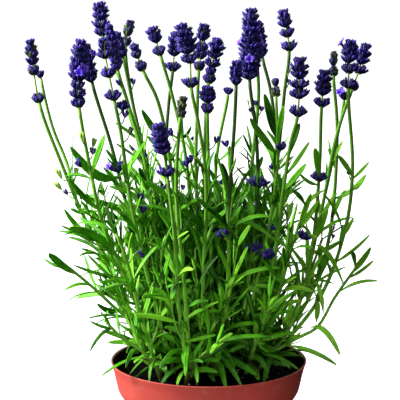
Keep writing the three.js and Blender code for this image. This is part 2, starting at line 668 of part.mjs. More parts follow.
// A leaf by rule: tried at several seeded angles and lengths until one lies clear of everything
function ruledLeaf(shoot, distance, azimuth, seed) {
  const random = seeded(seed);
  const within = ([low, high]) => low + (high - low) * random();
  const frame = { ...frameAt(shoot.spine, distance), centre: onStem(shoot, distance) };
  for (let attempt = 0; attempt < LEAF_TRIES; attempt += 1) {
    const angle = azimuth + (random() - 0.5) * (SPREAD + SPREAD_EACH_TRY * attempt);
    const lean = within(LEAN_RANGE);
    const length = within(LENGTH_RANGE) * (1 - SHORTER_EACH_TRY * attempt);
    const droop = within(DROOP_RANGE);
    const width = within(WIDTH_RANGE);
    const outward = outwardOf(frame, angle);
    const first = frame.along.clone().multiplyScalar(Math.cos(lean)).addScaledVector(outward, Math.sin(lean));
    const second = first.clone().addScaledVector(outward, OUTWARD_BEND).addScaledVector(Z_AXIS, -droop);
    second.normalize();
    const control = frame.centre.clone().addScaledVector(first, 0.5 * length);
    const tip = control.clone().addScaledVector(second, 0.5 * length);
    const leaf = makeLeaf(shoot.name, frame, control, tip, width);
    if (fits(leaf)) {
      return leaf;
    }
  }
  return null;
}

// The plant

const spines = new Map();
for (const wanted of [false, true]) {
  for (const shoot of SHOOTS) {
    if ((typeof shoot[1][0] === 'string') === wanted) {
      spines.set(shoot[0], spineOf(shoot, spines));
    }
  }
}

const shoots = SHOOTS.map(([name, start, , head], index) => {
  const spine = spines.get(name);
  const length = spine.getLength();
  const whorls = head ? whorlsOf(head) : [];
  const lowest = whorls.length ? whorls[whorls.length - 1].distance + CUP_DEPTH + CUP_FOOT : 0;
  const parent = typeof start[0] === 'string' ? start[0] : null;
  const stemEnd = length - lowest - (head && !head.green ? HEAD_GAP : 0);
  return { name, index, parent, head, spine, length, whorls, stemEnd, points: stemPoints(spine, 0, stemEnd) };
});

for (const shoot of shoots) {
  const { name, spine, length, whorls, head } = shoot;
  for (let s = 0; s <= shoot.stemEnd; s += BALL_STEP) {
    takeBall(onStem(shoot, s), 1.3 * STEM_HALF_WIDTH, name);
  }
  const collar = head?.collar ? [{ distance: head.collar[0], radius: head.collar[1] }] : [];
  for (const whorl of [...whorls, ...collar]) {
    takeBall(frameAt(spine, length - whorl.distance).centre, whorl.radius + 0.8, name);
  }
}

const leaves = [];
function grow(leaf) {
  if (leaf) {
    take(leaf, leaves.length);
    leaves.push(leaf);
  }
}

for (const row of PLACED_LEAVES) {
  grow(placedLeaf(row));
}
const placedCount = leaves.length;
for (const shoot of shoots.filter(({ parent, head }) => !parent || !head)) {
  const start = shoot.parent ? LEAF_START : LEAF_START + ROOT_DEPTH;
  const end = shoot.head ? start + LEAFY_SHARE * (shoot.stemEnd - start) : shoot.length - 2;
  const spacing = shoot.head ? STEM_LEAF_SPACING : SHOOT_LEAF_SPACING;
  const pairs = Math.max(1, Math.round((end - start) / spacing));
  for (let pair = 0; pair <= pairs; pair += 1) {
    const distance = start + ((end - start) * pair) / pairs;
    for (let k = 0; k < 2; k += 1) {
      const azimuth = shoot.index + pair * PAIR_TURN + k * Math.PI;
      grow(ruledLeaf(shoot, distance, azimuth, 1000 * shoot.index + 10 * pair + k + 1));
    }
  }
}

// A leaf by rule that ends past the plant's outline in the photo is left out, and its place stays empty
function standsOut(tip) {
  const low = tip.z < LOW_OUTLINE_HEIGHT && Math.abs(tip.x) > LOW_OUTLINE_X;
  return low || tip.x < OUTLINE_X[0] || tip.x > OUTLINE_X[1];
}

const keptLeaves = leaves.filter((leaf, order) => order < placedCount || !standsOut(leaf.curve.v2));

function collarSolid(shoot) {
  const [distance, radius] = shoot.head.collar;
  const whorl = { distance, radius, alone: true };
  return headSurface(shoot.spine, [whorl], shoot.length - distance + 1);
}

function greenSolids(shoot) {
  const parts = [stemSolid(shoot.points)];
  if (shoot.head?.collar) {
    parts.push(collarSolid(shoot));
  }
  if (shoot.head?.green) {
    parts.push(headSurface(shoot.spine, shoot.whorls, shoot.length));
    parts.push(stemSolid(stemPoints(shoot.spine, shoot.stemEnd - CUP_DEPTH, shoot.stemEnd + CUP_FOOT)));
  }
  return [...parts, ...keptLeaves.filter((leaf) => leaf.shoot === shoot.name).map(leafSolid)];
}

// Names a stem after the shoot that stands in the soil, with its side shoots in the same piece
function rootShoot(shoot) {
  return shoot.parent ? rootShoot(shoots.find((other) => other.name === shoot.parent)) : shoot;
}

const materials = {
  pot: new THREE.MeshStandardMaterial({ color: 0xb5483f, roughness: 0.5, metalness: 0 }),
  soil: new THREE.MeshStandardMaterial({ color: 0x14100d, roughness: 1, metalness: 0 }),
  leaf: new THREE.MeshStandardMaterial({ color: 0x4f9a2a, roughness: 0.6, metalness: 0 }),
  flower: new THREE.MeshStandardMaterial({ color: 0x35246f, roughness: 0.8, metalness: 0 }),
};

const lavender = new THREE.Group();
lavender.add(namedMesh('pot', pot(), materials.pot));
const rooted = shoots.filter((shoot) => !shoot.parent);
const roots = rooted.map(({ points: [foot, next] }) => ({ foot, along: next.clone().sub(foot).normalize() }));
lavender.add(namedMesh('soil', soil(roots), materials.soil));
for (const main of rooted) {
  const parts = shoots.filter((shoot) => rootShoot(shoot) === main).flatMap(greenSolids);
  lavender.add(namedMesh(`leafy_stem_${main.name}`, fused(parts), materials.leaf));
}
for (const shoot of shoots) {
  if (shoot.head && !shoot.head.green) {
    const head = headSurface(shoot.spine, shoot.whorls, shoot.length);
    lavender.add(namedMesh(`flower_head_${shoot.name}`, head, materials.flower));
  }
}

export default lavender;
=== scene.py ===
"""Potted lavender: the looks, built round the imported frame.

Sizes are in millimetres until a mesh is made. The origin is the centre of the pot's underside,
+Z is up and -Y is towards the side that the photograph shows.
"""

import itertools
import math
from collections import namedtuple

import bpy
import numpy as np
from mathutils import Matrix, Vector
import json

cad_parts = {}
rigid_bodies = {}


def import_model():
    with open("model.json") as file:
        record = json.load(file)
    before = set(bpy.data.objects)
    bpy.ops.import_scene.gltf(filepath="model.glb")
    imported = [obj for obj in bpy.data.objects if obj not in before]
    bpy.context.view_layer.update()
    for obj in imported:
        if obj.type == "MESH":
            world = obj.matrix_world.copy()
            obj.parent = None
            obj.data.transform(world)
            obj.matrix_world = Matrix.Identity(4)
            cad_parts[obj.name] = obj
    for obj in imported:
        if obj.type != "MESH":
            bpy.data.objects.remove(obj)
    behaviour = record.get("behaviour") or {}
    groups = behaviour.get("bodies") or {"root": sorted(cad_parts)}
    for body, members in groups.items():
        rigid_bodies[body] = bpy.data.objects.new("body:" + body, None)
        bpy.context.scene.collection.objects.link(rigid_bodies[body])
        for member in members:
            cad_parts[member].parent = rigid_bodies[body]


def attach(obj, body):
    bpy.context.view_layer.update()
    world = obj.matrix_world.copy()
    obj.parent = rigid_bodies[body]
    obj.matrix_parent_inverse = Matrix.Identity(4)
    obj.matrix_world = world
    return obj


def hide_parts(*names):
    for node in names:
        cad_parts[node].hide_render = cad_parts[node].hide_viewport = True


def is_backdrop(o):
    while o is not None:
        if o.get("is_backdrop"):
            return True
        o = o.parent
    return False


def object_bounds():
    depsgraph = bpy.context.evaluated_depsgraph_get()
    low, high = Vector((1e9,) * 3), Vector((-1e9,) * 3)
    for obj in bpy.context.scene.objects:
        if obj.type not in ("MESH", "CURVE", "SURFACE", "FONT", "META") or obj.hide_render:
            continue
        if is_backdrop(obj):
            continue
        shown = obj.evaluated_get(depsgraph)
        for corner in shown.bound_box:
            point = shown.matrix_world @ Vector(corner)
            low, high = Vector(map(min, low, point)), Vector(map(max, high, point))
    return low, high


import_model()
cad_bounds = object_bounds()

MM = 0.001

# Pot, as in the solids
POT_HEIGHT = 110
RIM_RADIUS = 70
BASE_RADIUS = 49
BAND_HEIGHT = 22
BAND_TAPER = 3.5
BAND_STEP = 4.5
LIP_OVERHANG = 2
LIP_HEIGHT = 3
SHOULDER_HEIGHT = 6
FOOT_ROUND = 2.5
WALL = 1.6
INNER_STEP = 0.6
FLOOR = 2
DRAIN_HOLES = 5
DRAIN_RADIUS = 4
DRAIN_CIRCLE = 33

# Soil, as in the solids
SOIL_TOP = 102
SOIL_BUMP = 1.2
SEAT_GAP = 0.3
ROOT_DEPTH = 13

# Stems and flower heads, as in the solids
STEM_HALF_WIDTH = 0.95
STEM_STEP = 32
SPINE_SAMPLES = 400
WHORL_SPACING = 6
WHORL_START = 0.65
WHORL_MARGIN = 0.8
CUP_DEPTH = 3.2
CUP_FOOT = 0.4
HEAD_GAP = 0.35

# The space that is taken is kept as balls, sorted into cubes
CLEARANCE = 0.5
CUBE = 12
BALL_STEP = 3
WALL_MARGIN = 0.6
WALL_REACH = 4.4
SOIL_MARGIN = 1.4

# Leaves, as in the solids
LEAF_SINK = 0.75
STEM_LEAF_SPACING = 48
SHOOT_LEAF_SPACING = 33
LEAF_START = 12
LEAFY_SHARE = 0.5
PAIR_TURN = 1.9
TIP_SHIFTS = (0, -4, 4, -8, 8, -12, 12)
FACE_FRONT = 1.8
ROOT_SHARE = 0.34
OUTWARD_BEND = 0.3
OUTLINE_X = (-120, 116)
LOW_OUTLINE_X = 100
LOW_OUTLINE_HEIGHT = 165

# Rules: ranges of a leaf's size and direction, its tries and how each one changes, and its limits
Rule = namedtuple("Rule", "lean length droop width tries spread wider shorter clearance contained")
MAIN_RULE = Rule((0.45, 1), (25, 42), (0.15, 0.9), (3.2, 4.8), 24, 0.8, 0.2, 0.018, CLEARANCE, False)

# Heads: length and radius of the spike, then distance from the tip and radius of each lone whorl
Head = namedtuple("Head", "spike radius whorls collar green", defaults=(None, False))

# Shoots: name, foot on the soil or parent and height, points of the stem, and head
SHOOTS = [
    ["A", [-42, 12], [[-64, 1, 166], [-89, -5, 218], [-102, -8, 252], [-117, -11, 296], [-123, -12, 341]],
     Head(16.5, 4.6, [[21.4, 4], [41, 4.4]])],
    ["A2", ["A", 226], [[-100, 6, 252], [-109, 7, 275], [-115, 6, 300], [-118, 6, 317]],
     Head(4, 3, [])],
    ["B", [-32, -10], [[-56, -23, 170], [-73, -29, 214], [-81, -33, 253], [-88, -37, 297], [-89, -37, 311],
     [-86, -38, 344]], Head(27, 7, [[31, 5.2], [37, 6.2], [43.2, 5]])],
    ["B2", [-29, 14], [[-45, 6, 167], [-57, 2, 218], [-68, -2, 265], [-81, -3, 310], [-85, -4, 337]],
     Head(26, 5.6, [], [90, 6.8])],
    ["D", [-21, 22], [[-35, 18, 171], [-44, 16, 237], [-59, 14, 300], [-74, 14, 340], [-76, 14, 364]],
     Head(11.5, 6.4, [[15.2, 6.2], [20.4, 5.8]])],
    ["D2", [-22, 4], [[-34, -2, 176], [-44, -6, 252], [-55, -7, 292], [-63, -8, 319], [-69, -8, 351]],
     Head(31, 4.8, [])],
    ["D3", [-16, 36], [[-28, 39, 166], [-41, 40, 232], [-53, 41, 282], [-61, 42, 321], [-66, 42, 340]],
     Head(18, 4.3, [])],
    ["E", [-24, -14], [[-41, -29, 172], [-53, -38, 230], [-60, -43, 283], [-64, -45, 304], [-72, -46, 346]],
     Head(7, 3.2, [[10.8, 5.6], [24, 5.4], [39.8, 5.6]])],
    ["F", [-13, 44], [[-24, 53, 163], [-43, 59, 229], [-56, 63, 291], [-60, 64, 327], [-56, 64, 346]],
     Head(10.8, 3.9, [[15.8, 3.8]])],
    ["G", [-13, -8], [[-20, -17, 172], [-25, -22, 244], [-35, -25, 300], [-45, -26, 321], [-52, -26, 340]],
     Head(10.2, 4.1, [[16.6, 3.8]])],
    ["H", [-8, 26], [[-11, 28, 161], [-16, 29, 249], [-26, 30, 296], [-34, 30, 324], [-40, 30, 345]],
     Head(10.6, 5.7, [[17.8, 4.7]])],
    ["I", [-9, 48], [[-19, 58, 154], [-31, 66, 235], [-29, 70, 283], [-26, 71, 307], [-24, 72, 337]],
     Head(17, 5.6, [[26, 5.9]])],
    ["J", [-4, -12], [[-4, -30, 168], [-2, -43, 248], [-7, -47, 287], [-12, -49, 312], [-13, -49, 332],
     [-19, -50, 356]], Head(19.5, 7.6, [[24.2, 5.9], [40.4, 5.9]])],
    ["K", [-12, -30], [[-17, -51, 180], [-22, -62, 245], [-19, -68, 296], [-17, -69, 310]],
     Head(8, 3.4, [[11.4, 2.8]], green=True)],
    ["L", [-3, 10], [[-6, 11, 173], [-9, 12, 245], [-8, 12, 288], [-7, 12, 315], [-3, 12, 349]],
     Head(10.4, 4.9, [[16.6, 4.6], [21.4, 4.8], [29.6, 3.8]])],
    ["M", [3, 34], [[0, 39, 166], [-3, 43, 239], [0, 46, 301], [7, 46, 335]],
     Head(14, 7, [[18.4, 6], [24.4, 3.6], [30, 4.8]])],
    ["N", [4, -2], [[2, -15, 179], [0, -23, 244], [-1, -26, 290], [-1, -27, 311]],
     Head(10.4, 6.5, [[15.6, 4.4]])],
    ["O1", [17, -2], [[28, -10, 170], [34, -14, 239], [32, -17, 282], [28, -18, 312], [29, -18, 363]],
     Head(47.5, 8.2, [], [122, 8])],
    ["O2", [14, 20], [[25, 16, 171], [31, 13, 252], [35, 12, 298], [34, 12, 322], [35, 12, 351]],
     Head(26.5, 5.4, [])],
    ["O3", [3, -22], [[13, -39, 174], [14, -48, 239], [17, -53, 288], [18, -55, 314], [18, -56, 332]],
     Head(15, 4.6, [])],
    ["O4", [22, 42], [[42, 50, 163], [50, 56, 244], [45, 59, 295], [39, 60, 319], [37.5, 60, 337]],
     Head(16, 4.6, [])],
    ["O5", [7, 52], [[6, 62, 161], [6, 71, 242], [14, 74, 286], [15, 75, 295.5]],
     Head(4, 4.3, [])],
    ["P", [23, 20], [[41, 25, 169], [50, 28, 256], [54, 30, 299], [57, 30, 328], [52, 30, 357]],
     Head(11.4, 5.7, [[16.4, 5.5], [26.2, 5.8]])],
    ["K2", ["O1", 122], [[36, -14, 179], [47, -21, 251], [46, -23, 302], [45, -24, 316]],
     Head(5, 2.2, [[9.6, 2.4]], green=True)],
    ["Q", [26, -14], [[43, -26, 174], [51, -33, 239], [56, -35, 274], [60, -36, 290], [61, -38, 332]],
     Head(13.8, 6.8, [[18.4, 7.2], [25, 6.8], [37.4, 6.8]])],
    ["R", [34, -6], [[58, -7, 137], [71, -7, 181], [77, -8, 247], [78, -8, 292], [80, -8, 319.5]],
     Head(16.8, 6.6, [[22.8, 6.6]], [75, 6])],
    ["S", [35, 24], [[68, 28, 139], [86, 31, 187], [92, 35, 270], [89, 36, 308], [89, 36, 327]],
     Head(10, 3.2, [[14.4, 2.7]], green=True)],
    ["T", [39, 10], [[78, 1, 153], [96, -6, 207], [100, -10, 249], [96, -13, 305], [97, -14, 341]],
     Head(14.8, 6.5, [[20, 5.4], [30.4, 5.8]])],
    ["T2", ["U", 222], [[85, 14, 238], [90, 18, 262], [95, 18, 290], [96, 18, 300.5]],
     Head(5, 5.8, [])],
    ["U", [33, 4], [[62, 5, 145], [79, 5, 214], [90, 6, 272], [104, 6, 315], [110, 6, 336]],
     Head(14, 6, [[18.6, 6.4], [31, 3.4]])],
    ["V", [-15, -38], [[-17, -44, 130], [-21, -58, 168], [-23, -68, 212], [-28, -71, 257], [-34, -76, 293]],
     Head(20.5, 6.7, [[34, 6.4]])],
    ["side_left", ["mid_left", 112], [[-55, -22, 143], [-68, -30, 158], [-81, -35, 172], [-100, -38, 189]],
     None],
    ["low_left", ["bright_left", 114], [[-48, -38, 128], [-59, -42, 136], [-72, -46, 151]], None],
    ["mid_left", [-41, -4], [[-49, -9, 138], [-59, -13, 152], [-72, -16, 162]], None],
    ["bright_left", [-33, -30], [[-46, -44, 149], [-52, -52, 178], [-58, -55, 202], [-63, -56, 214]], None],
    ["side_right", ["R", 116], [[62, -14, 129], [76, -18, 138], [88, -20, 160], [103, -19, 182]], None],
    ["pair_right", ["Q", 130], [[47, -36, 162], [54, -43, 191], [61, -46, 217], [66, -48, 232]], None],
    ["low_right", ["Q", 112], [[33, -30, 130], [36, -38, 144], [42, -43, 156]], None],
    ["back_mid", ["O5", 112], [[2, 72, 142], [-2, 88, 170], [-4, 96, 192]], None],
    ["back_right", ["O4", 112], [[34, 62, 140], [36, 80, 168], [40, 90, 196]], None],
    ["back_left", ["I", 112], [[-24, 66, 138], [-42, 80, 162], [-54, 86, 188]], None],
    ["back_far_left", ["D3", 114], [[-36, 48, 138], [-62, 56, 162], [-80, 58, 184]], None],
    ["back_far_right", ["S", 116], [[56, 42, 136], [74, 54, 160], [84, 58, 186]], None],
    ["front_low", ["K", 112], [[-8, -46, 122], [0, -62, 134], [6, -74, 142]], None],
]

# Leaves set from the photo: shoot, height of the root, tip, width and rise
PLACED_LEAVES = [
    ["B2", 242, [-96, -16, 267], 7.6, -9],
    ["B2", 243, [-43, -34, 274], 5.4, -3],
    ["B", 249, [-70, -47, 280], 5.6, 1],
    ["B", 246, [-98, -26, 248], 2.8, 2],
    ["B", 224, [-96, -40, 249], 4.6, -2],
    ["A", 199, [-101, -12, 222], 4.4, -4],
    ["A", 182, [-91, -13, 188], 2.8, 4],
    ["B", 194, [-96, -40, 214], 6.4, 4],
    ["A", 192, [-104, -8, 208], 3, 1],
    ["A", 188, [-100, 9, 197], 2.8, 2],
    ["E", 174, [-94, -34, 187], 3.2, -3],
    ["mid_left", 152, [-78, -24, 157], 4.4, -4],
    ["bright_left", 176, [-76, -47, 170], 2.8, 3],
    ["side_left", 172, [-99, -44, 171], 3.2, 3],
    ["side_left", 181, [-110, -44, 196], 4.6, -1],
    ["side_left", 186, [-114, -32, 191], 2.4, -2],
    ["low_left", 143, [-82, -50, 151], 2.8, -1],
    ["low_left", 146, [-74, -54, 159], 2.6, 1],
    ["low_left", 139, [-64, -36, 156], 2.8, 0],
    ["low_left", 143, [-82, -50, 129], 3, 5],
    ["E", 140, [-63, -36, 146], 3.6, -6],
    ["low_left", 129, [-57, -56, 119], 3.4, 4],
    ["G", 275, [-46, -32, 295], 5.8, -4],
    ["H", 265, [-12, 21, 275], 3, -2],
    ["G", 226, [-44, -27, 244], 5.4, 2],
    ["K", 250, [-21, -78, 270], 4, 2],
    ["J", 210, [-19, -46, 229], 5, 2],
    ["V", 166, [-45, -65, 172], 4.4, 2],
    ["V", 178, [-40, -52, 186], 2.6, 2],
    ["V", 135, [5, -56, 143], 3.4, 0],
    ["V", 129, [-34, -58, 119], 3.4, 5],
    ["K", 131, [-16, -64, 119], 4, 5],
    ["O3", 124, [18, -52, 119], 4, 4],
    ["O3", 136, [37, -42, 146], 4, 4],
    ["O3", 152, [-6, -44, 152], 3.6, 3],
    ["O3", 175, [49, -48, 188], 4, 3],
    ["O3", 214, [43, -55, 225], 3.6, 4],
    ["O3", 212, [-9, -56, 238], 5.2, 2],
    ["O3", 216, [22, -60, 234], 4.8, -2],
    ["O5", 240, [25, 66, 261], 3, -2],
    ["K2", 272, [38, -19, 304], 6.6, -2],
    ["K2", 270, [51, -22, 298], 5.2, 1],
    ["K2", 262, [28, -31, 289], 6, -2],
    ["Q", 264, [62, -29, 285], 4.8, 1],
    ["P", 250, [38, 40, 264], 3.4, -2],
    ["Q", 249, [69, -27, 272], 3.6, -1],
    ["Q", 239, [66, -46, 260], 5.4, -1],
    ["R", 243, [73, -18, 266], 5.8, 1],
    ["R", 238, [62, -16, 248], 3.2, -2],
    ["pair_right", 217, [69, -52, 241], 4.6, 0],
    ["pair_right", 214, [75, -38, 233], 4.8, -1],
    ["R", 197, [83, -18, 224], 5, -2],
    ["S", 220, [112, 26, 239], 4.2, -4],
    ["T", 244, [89, -20, 261], 4.8, 1],
    ["T", 242, [112, -4, 254], 3, -1],
    ["T", 236, [109, -18, 248], 3.6, -4],
    ["T", 201, [101, -14, 216], 3.4, -1],
    ["U", 186, [94, -8, 200], 4.4, -2],
    ["T", 181, [113, -12, 204], 3.2, -2],
    ["side_right", 169, [74, -30, 200], 4.2, 6],
    ["side_right", 164, [118, -24, 173], 3, 3],
    ["side_right", 178, [112, -26, 198], 5.6, -1],
    ["side_right", 174, [116, -8, 184], 3, -1],
    ["side_right", 136, [92, -26, 120], 4.8, 7],
    ["side_right", 140, [76, -30, 160], 4.6, 0],
    ["R", 118, [62, -36, 119], 4.4, 5],
    ["low_right", 150, [56, -48, 158], 3.6, 1],
    ["low_right", 146, [30, -54, 154], 4.6, 2],
]

Z_AXIS = np.array([0.0, 0.0, 1.0])
Y_AXIS = np.array([0.0, 1.0, 0.0])
ARC_SAMPLES = 200
TANGENT_STEP = 0.0001


def seeded(seed):
    """The same random draws as the solids are made with."""
    state = seed & 0xFFFFFFFF

    def draw():
        nonlocal state
        state = (state + 0x6D2B79F5) & 0xFFFFFFFF
        mixed = ((state ^ (state >> 15)) * (state | 1)) & 0xFFFFFFFF
        mixed = (mixed + (((mixed ^ (mixed >> 7)) * (mixed | 61)) & 0xFFFFFFFF)) & 0xFFFFFFFF ^ mixed
        return (mixed ^ (mixed >> 14)) / 4294967296

    return draw


def unit(v):
    return v / math.sqrt(v @ v)


def smooth(low, high, x):
    """Smooth step from 0 at low to 1 at high."""
    t = np.clip((x - low) / (high - low), 0, 1)
    return t * t * (3 - 2 * t)


class Spine:
    """Centripetal Catmull-Rom curve through points, measured along its length."""

    def __init__(self, points):
        self.points = [np.array(p, float) for p in points]
        samples = np.array([self.at(k / ARC_SAMPLES) for k in range(ARC_SAMPLES + 1)])
        steps = np.sqrt(((samples[1:] - samples[:-1]) ** 2).sum(1))
        self.lengths = np.concatenate([[0], np.cumsum(steps)])
        self.length = self.lengths[-1]

    def at(self, t):
        points = self.points
        last = len(points) - 1
        place = last * t
        k = min(int(place), last - 1)
        weight = place - k
        p1, p2 = points[k], points[k + 1]
        p0 = points[k - 1] if k > 0 else 2 * points[0] - points[1]
        p3 = points[k + 2] if k + 2 <= last else 2 * points[last] - points[last - 1]
        d0, d1, d2 = (((b - a) @ (b - a)) ** 0.25 for a, b in ((p0, p1), (p1, p2), (p2, p3)))
        t1 = ((p1 - p0) / d0 - (p2 - p0) / (d0 + d1) + (p2 - p1) / d1) * d1
        t2 = ((p2 - p1) / d1 - (p3 - p1) / (d1 + d2) + (p3 - p2) / d2) * d1
        c2 = -3 * p1 + 3 * p2 - 2 * t1 - t2
        c3 = 2 * p1 - 2 * p2 + t1 + t2
        return p1 + t1 * weight + c2 * weight**2 + c3 * weight**3

    def t_of(self, share):
        target = share * self.length
        k = int(np.searchsorted(self.lengths, target, side="right")) - 1
        k = min(max(k, 0), ARC_SAMPLES - 1)
        part = (target - self.lengths[k]) / (self.lengths[k + 1] - self.lengths[k])
        return (k + part) / ARC_SAMPLES

    def place(self, share):
        return self.at(self.t_of(share))

    def tangent(self, share):
        t = self.t_of(share)
        return unit(self.at(min(1, t + TANGENT_STEP)) - self.at(max(0, t - TANGENT_STEP)))

    def share_at_height(self, z):
        shares = (k / SPINE_SAMPLES for k in range(1, SPINE_SAMPLES + 1))
        return next((share for share in shares if self.place(share)[2] >= z), 1)


class Frame:
    """Directions of a shoot at a distance along it: along the stem, to its side and to its back."""

    def __init__(self, spine, distance):
        share = min(1, max(0, distance / spine.length))
        self.centre = spine.place(share)
        self.along = spine.tangent(share)
        self.side = unit(np.cross(Y_AXIS, self.along))
        self.front = np.cross(self.along, self.side)

    def outward(self, angle):
        return self.side * math.cos(angle) + self.front * math.sin(angle)


class Shoot:
    """A stem on its spine, with the whorls of its flower head."""

    def __init__(self, index, name, parent, spine, head=None):
        self.index, self.name, self.parent, self.spine, self.head = index, name, parent, spine, head
        self.length = spine.length
        self.whorls = whorls_of(head, WHORL_SPACING) if head else []
        self.collar = [(*head.collar, True)] if head and head.collar else []
        self.green = bool(head and head.green)
        lowest = self.whorls[-1][0] + CUP_DEPTH + CUP_FOOT if self.whorls else 0
        self.stem_end = self.length - lowest - (HEAD_GAP if head and not self.green else 0)
        self.leaves, self.twigs = [], []
        steps = max(2, math.floor(self.stem_end / STEM_STEP + 0.5))
        shares = [min(1, self.stem_end * k / steps / self.length) for k in range(steps + 1)]
        self.points = [spine.place(share) for share in shares]

    def on_stem(self, distance):
        steps = len(self.points) - 1
        place = min(steps + 1 - 1.001, steps * distance / self.stem_end)
        k = math.floor(place)
        return self.points[k] + (self.points[k + 1] - self.points[k]) * (place - k)

    def distance_at(self, height):
        return self.spine.share_at_height(height) * self.length


class Twig(Shoot):
    """A flowerless side shoot, grown only here."""

    def on_stem(self, distance):
        return self.spine.place(min(1, distance / self.length))


def whorls_of(head, spacing):
    """Whorls from the tip down: distance from the tip, radius and whether one stands alone."""
    count = max(1, math.floor(head.spike / spacing + 0.5))
    whorls = []
    for k in range(count):
        share = (k + WHORL_START) / count
        radius = head.radius * (1 - 0.5 * (1 - share) ** 3 - 0.1 * share**4)
        whorls.append((head.spike * share, radius, False))
    return whorls + [(distance, radius, True) for distance, radius in head.whorls]


def spine_of(start, path, spines):
    path = [np.array(p, float) for p in path]
    if isinstance(start[0], str):
        parent = spines[start[0]]
        return Spine([parent.place(parent.share_at_height(start[1])), *path])
    entry = np.array([*start, SOIL_TOP], float)
    along = unit(path[0] - entry)
    return Spine([entry + along * (1 - ROOT_DEPTH), entry, *path])


def make_shoots():
    spines = {}
    for wanted in (False, True):
        for name, start, path, _ in SHOOTS:
            if isinstance(start[0], str) == wanted:
                spines[name] = spine_of(start, path, spines)
    return [
        Shoot(index, name, start[0] if isinstance(start[0], str) else None, spines[name], head)
        for index, (name, start, _, head) in enumerate(SHOOTS)
    ]


class Space:
    """The space that is taken: balls along every stem, head and leaf, each known in the cubes around it."""

    def __init__(self):
        self.cubes = {}

    def take(self, centre, radius, shoot, leaf=False):
        x, y, z = (float(c) for c in centre)
        near = [range(math.floor(c / CUBE) - 1, math.floor(c / CUBE) + 2) for c in (x, y, z)]
        for key in itertools.product(*near):
            self.cubes.setdefault(key, []).append((x, y, z, radius, shoot, leaf))

    def free(self, centre, radius, shoot, near_root, clearance=CLEARANCE):
        x, y, z = centre
        key = (math.floor(x / CUBE), math.floor(y / CUBE), math.floor(z / CUBE))
        for bx, by, bz, ball_radius, owner, leaf in self.cubes.get(key, ()):
            reach = ball_radius + radius + clearance
            if (bx - x) ** 2 + (by - y) ** 2 + (bz - z) ** 2 < reach * reach:
                if owner != shoot or (leaf and not near_root):
                    return False
        return clear_of_pot(x, y, z, radius)


def clear_of_pot(x, y, z, radius):
    """Leaves stay over the soil and pass over the rim, not through it."""
    out = math.hypot(x, y)
    reach = radius + CLEARANCE + WALL_MARGIN
    if out < RIM_RADIUS - WALL_REACH:
        return z > SOIL_TOP + SOIL_MARGIN + reach
    return out > RIM_RADIUS + reach or z > POT_HEIGHT + reach


class Leaf:
    """A blade on a quadratic curve from inside its stem to its tip."""

    def __init__(self, shoot, root, along, control, tip, width, turned=0):
        self.shoot = shoot
        self.root, self.control, self.tip = root, control, tip
        self.width, self.turned = width, turned
        reach = tip - root
        self.across = unit(unit(np.cross(along, reach)) + unit(np.cross(reach, Y_AXIS)) * turned)
        track = self.at(np.linspace(0, 1, ARC_SAMPLES + 1))
        self.length = float(np.sqrt(((track[1:] - track[:-1]) ** 2).sum(1)).sum())

    def at(self, shares):
        s = np.asarray(shares, float)[:, None]
        return (1 - s) ** 2 * self.root + 2 * (1 - s) * s * self.control + s * s * self.tip

    def balls(self):
        count = math.ceil(self.length / BALL_STEP)
        shares = np.arange(1, count + 1) / count
        for share, centre in zip(shares.tolist(), self.at(shares).tolist()):
            radius = 0.5 * self.width * min(1, 0.4 + 1.8 * share, 0.3 + 2.2 * (1 - share))
            yield centre, radius, share < ROOT_SHARE

    def grow(self, space, clearance):
        """Takes its place on the shoot where the space allows it."""
        if not all(space.free(c, r, self.shoot.name, near, clearance) for c, r, near in self.balls()):
            return False
        for centre, radius, _ in self.balls():
            space.take(centre, radius, self.shoot.name, True)
        self.shoot.leaves.append(self)
        return True


def grow_to_tip(shoot, height, tips, rise, width, space, clearance=CLEARANCE, turned=0):
    """A leaf from a height on the shoot to the first of the tips where it lies clear."""
    distance = shoot.distance_at(height)
    root, along = shoot.on_stem(distance), Frame(shoot.spine, distance).along
    for tip in tips:
        control = root + (tip - root) * 0.5 + Z_AXIS * rise
        if Leaf(shoot, root, along, control, tip, width, turned).grow(space, clearance):
            break


def grow_by_rule(shoot, distance, azimuth, draw, space, rule):
    """A leaf by rule: tried at several seeded angles and lengths until it lies clear."""
    stem = Frame(shoot.spine, distance)
    root = shoot.on_stem(distance)
    if rule.contained and on_open_side(root) and draw() > OPEN_SIDE_CHANCE:
        return
    for attempt in range(rule.tries):
        angle = azimuth + (draw() - 0.5) * (rule.spread + rule.wider * attempt)
        lean, length, droop, width = (low + (high - low) * draw() for low, high in rule[:4])
        length *= 1 - rule.shorter * attempt
        outward = stem.outward(angle)
        first = stem.along * math.cos(lean) + outward * math.sin(lean)
        second = unit(first + outward * OUTWARD_BEND - Z_AXIS * droop)
        control = root + first * 0.5 * length
        leaf = Leaf(shoot, root, stem.along, control, control + second * 0.5 * length, width)
        if (not rule.contained or inside_reach(leaf.at([0.5, 1]))) and leaf.grow(space, rule.clearance):
            break


def stands_out(tip):
    """Whether a leaf by rule ends past the plant's outline in the photo."""
    low = tip[2] < LOW_OUTLINE_HEIGHT and abs(tip[0]) > LOW_OUTLINE_X
    return low or tip[0] < OUTLINE_X[0] or tip[0] > OUTLINE_X[1]


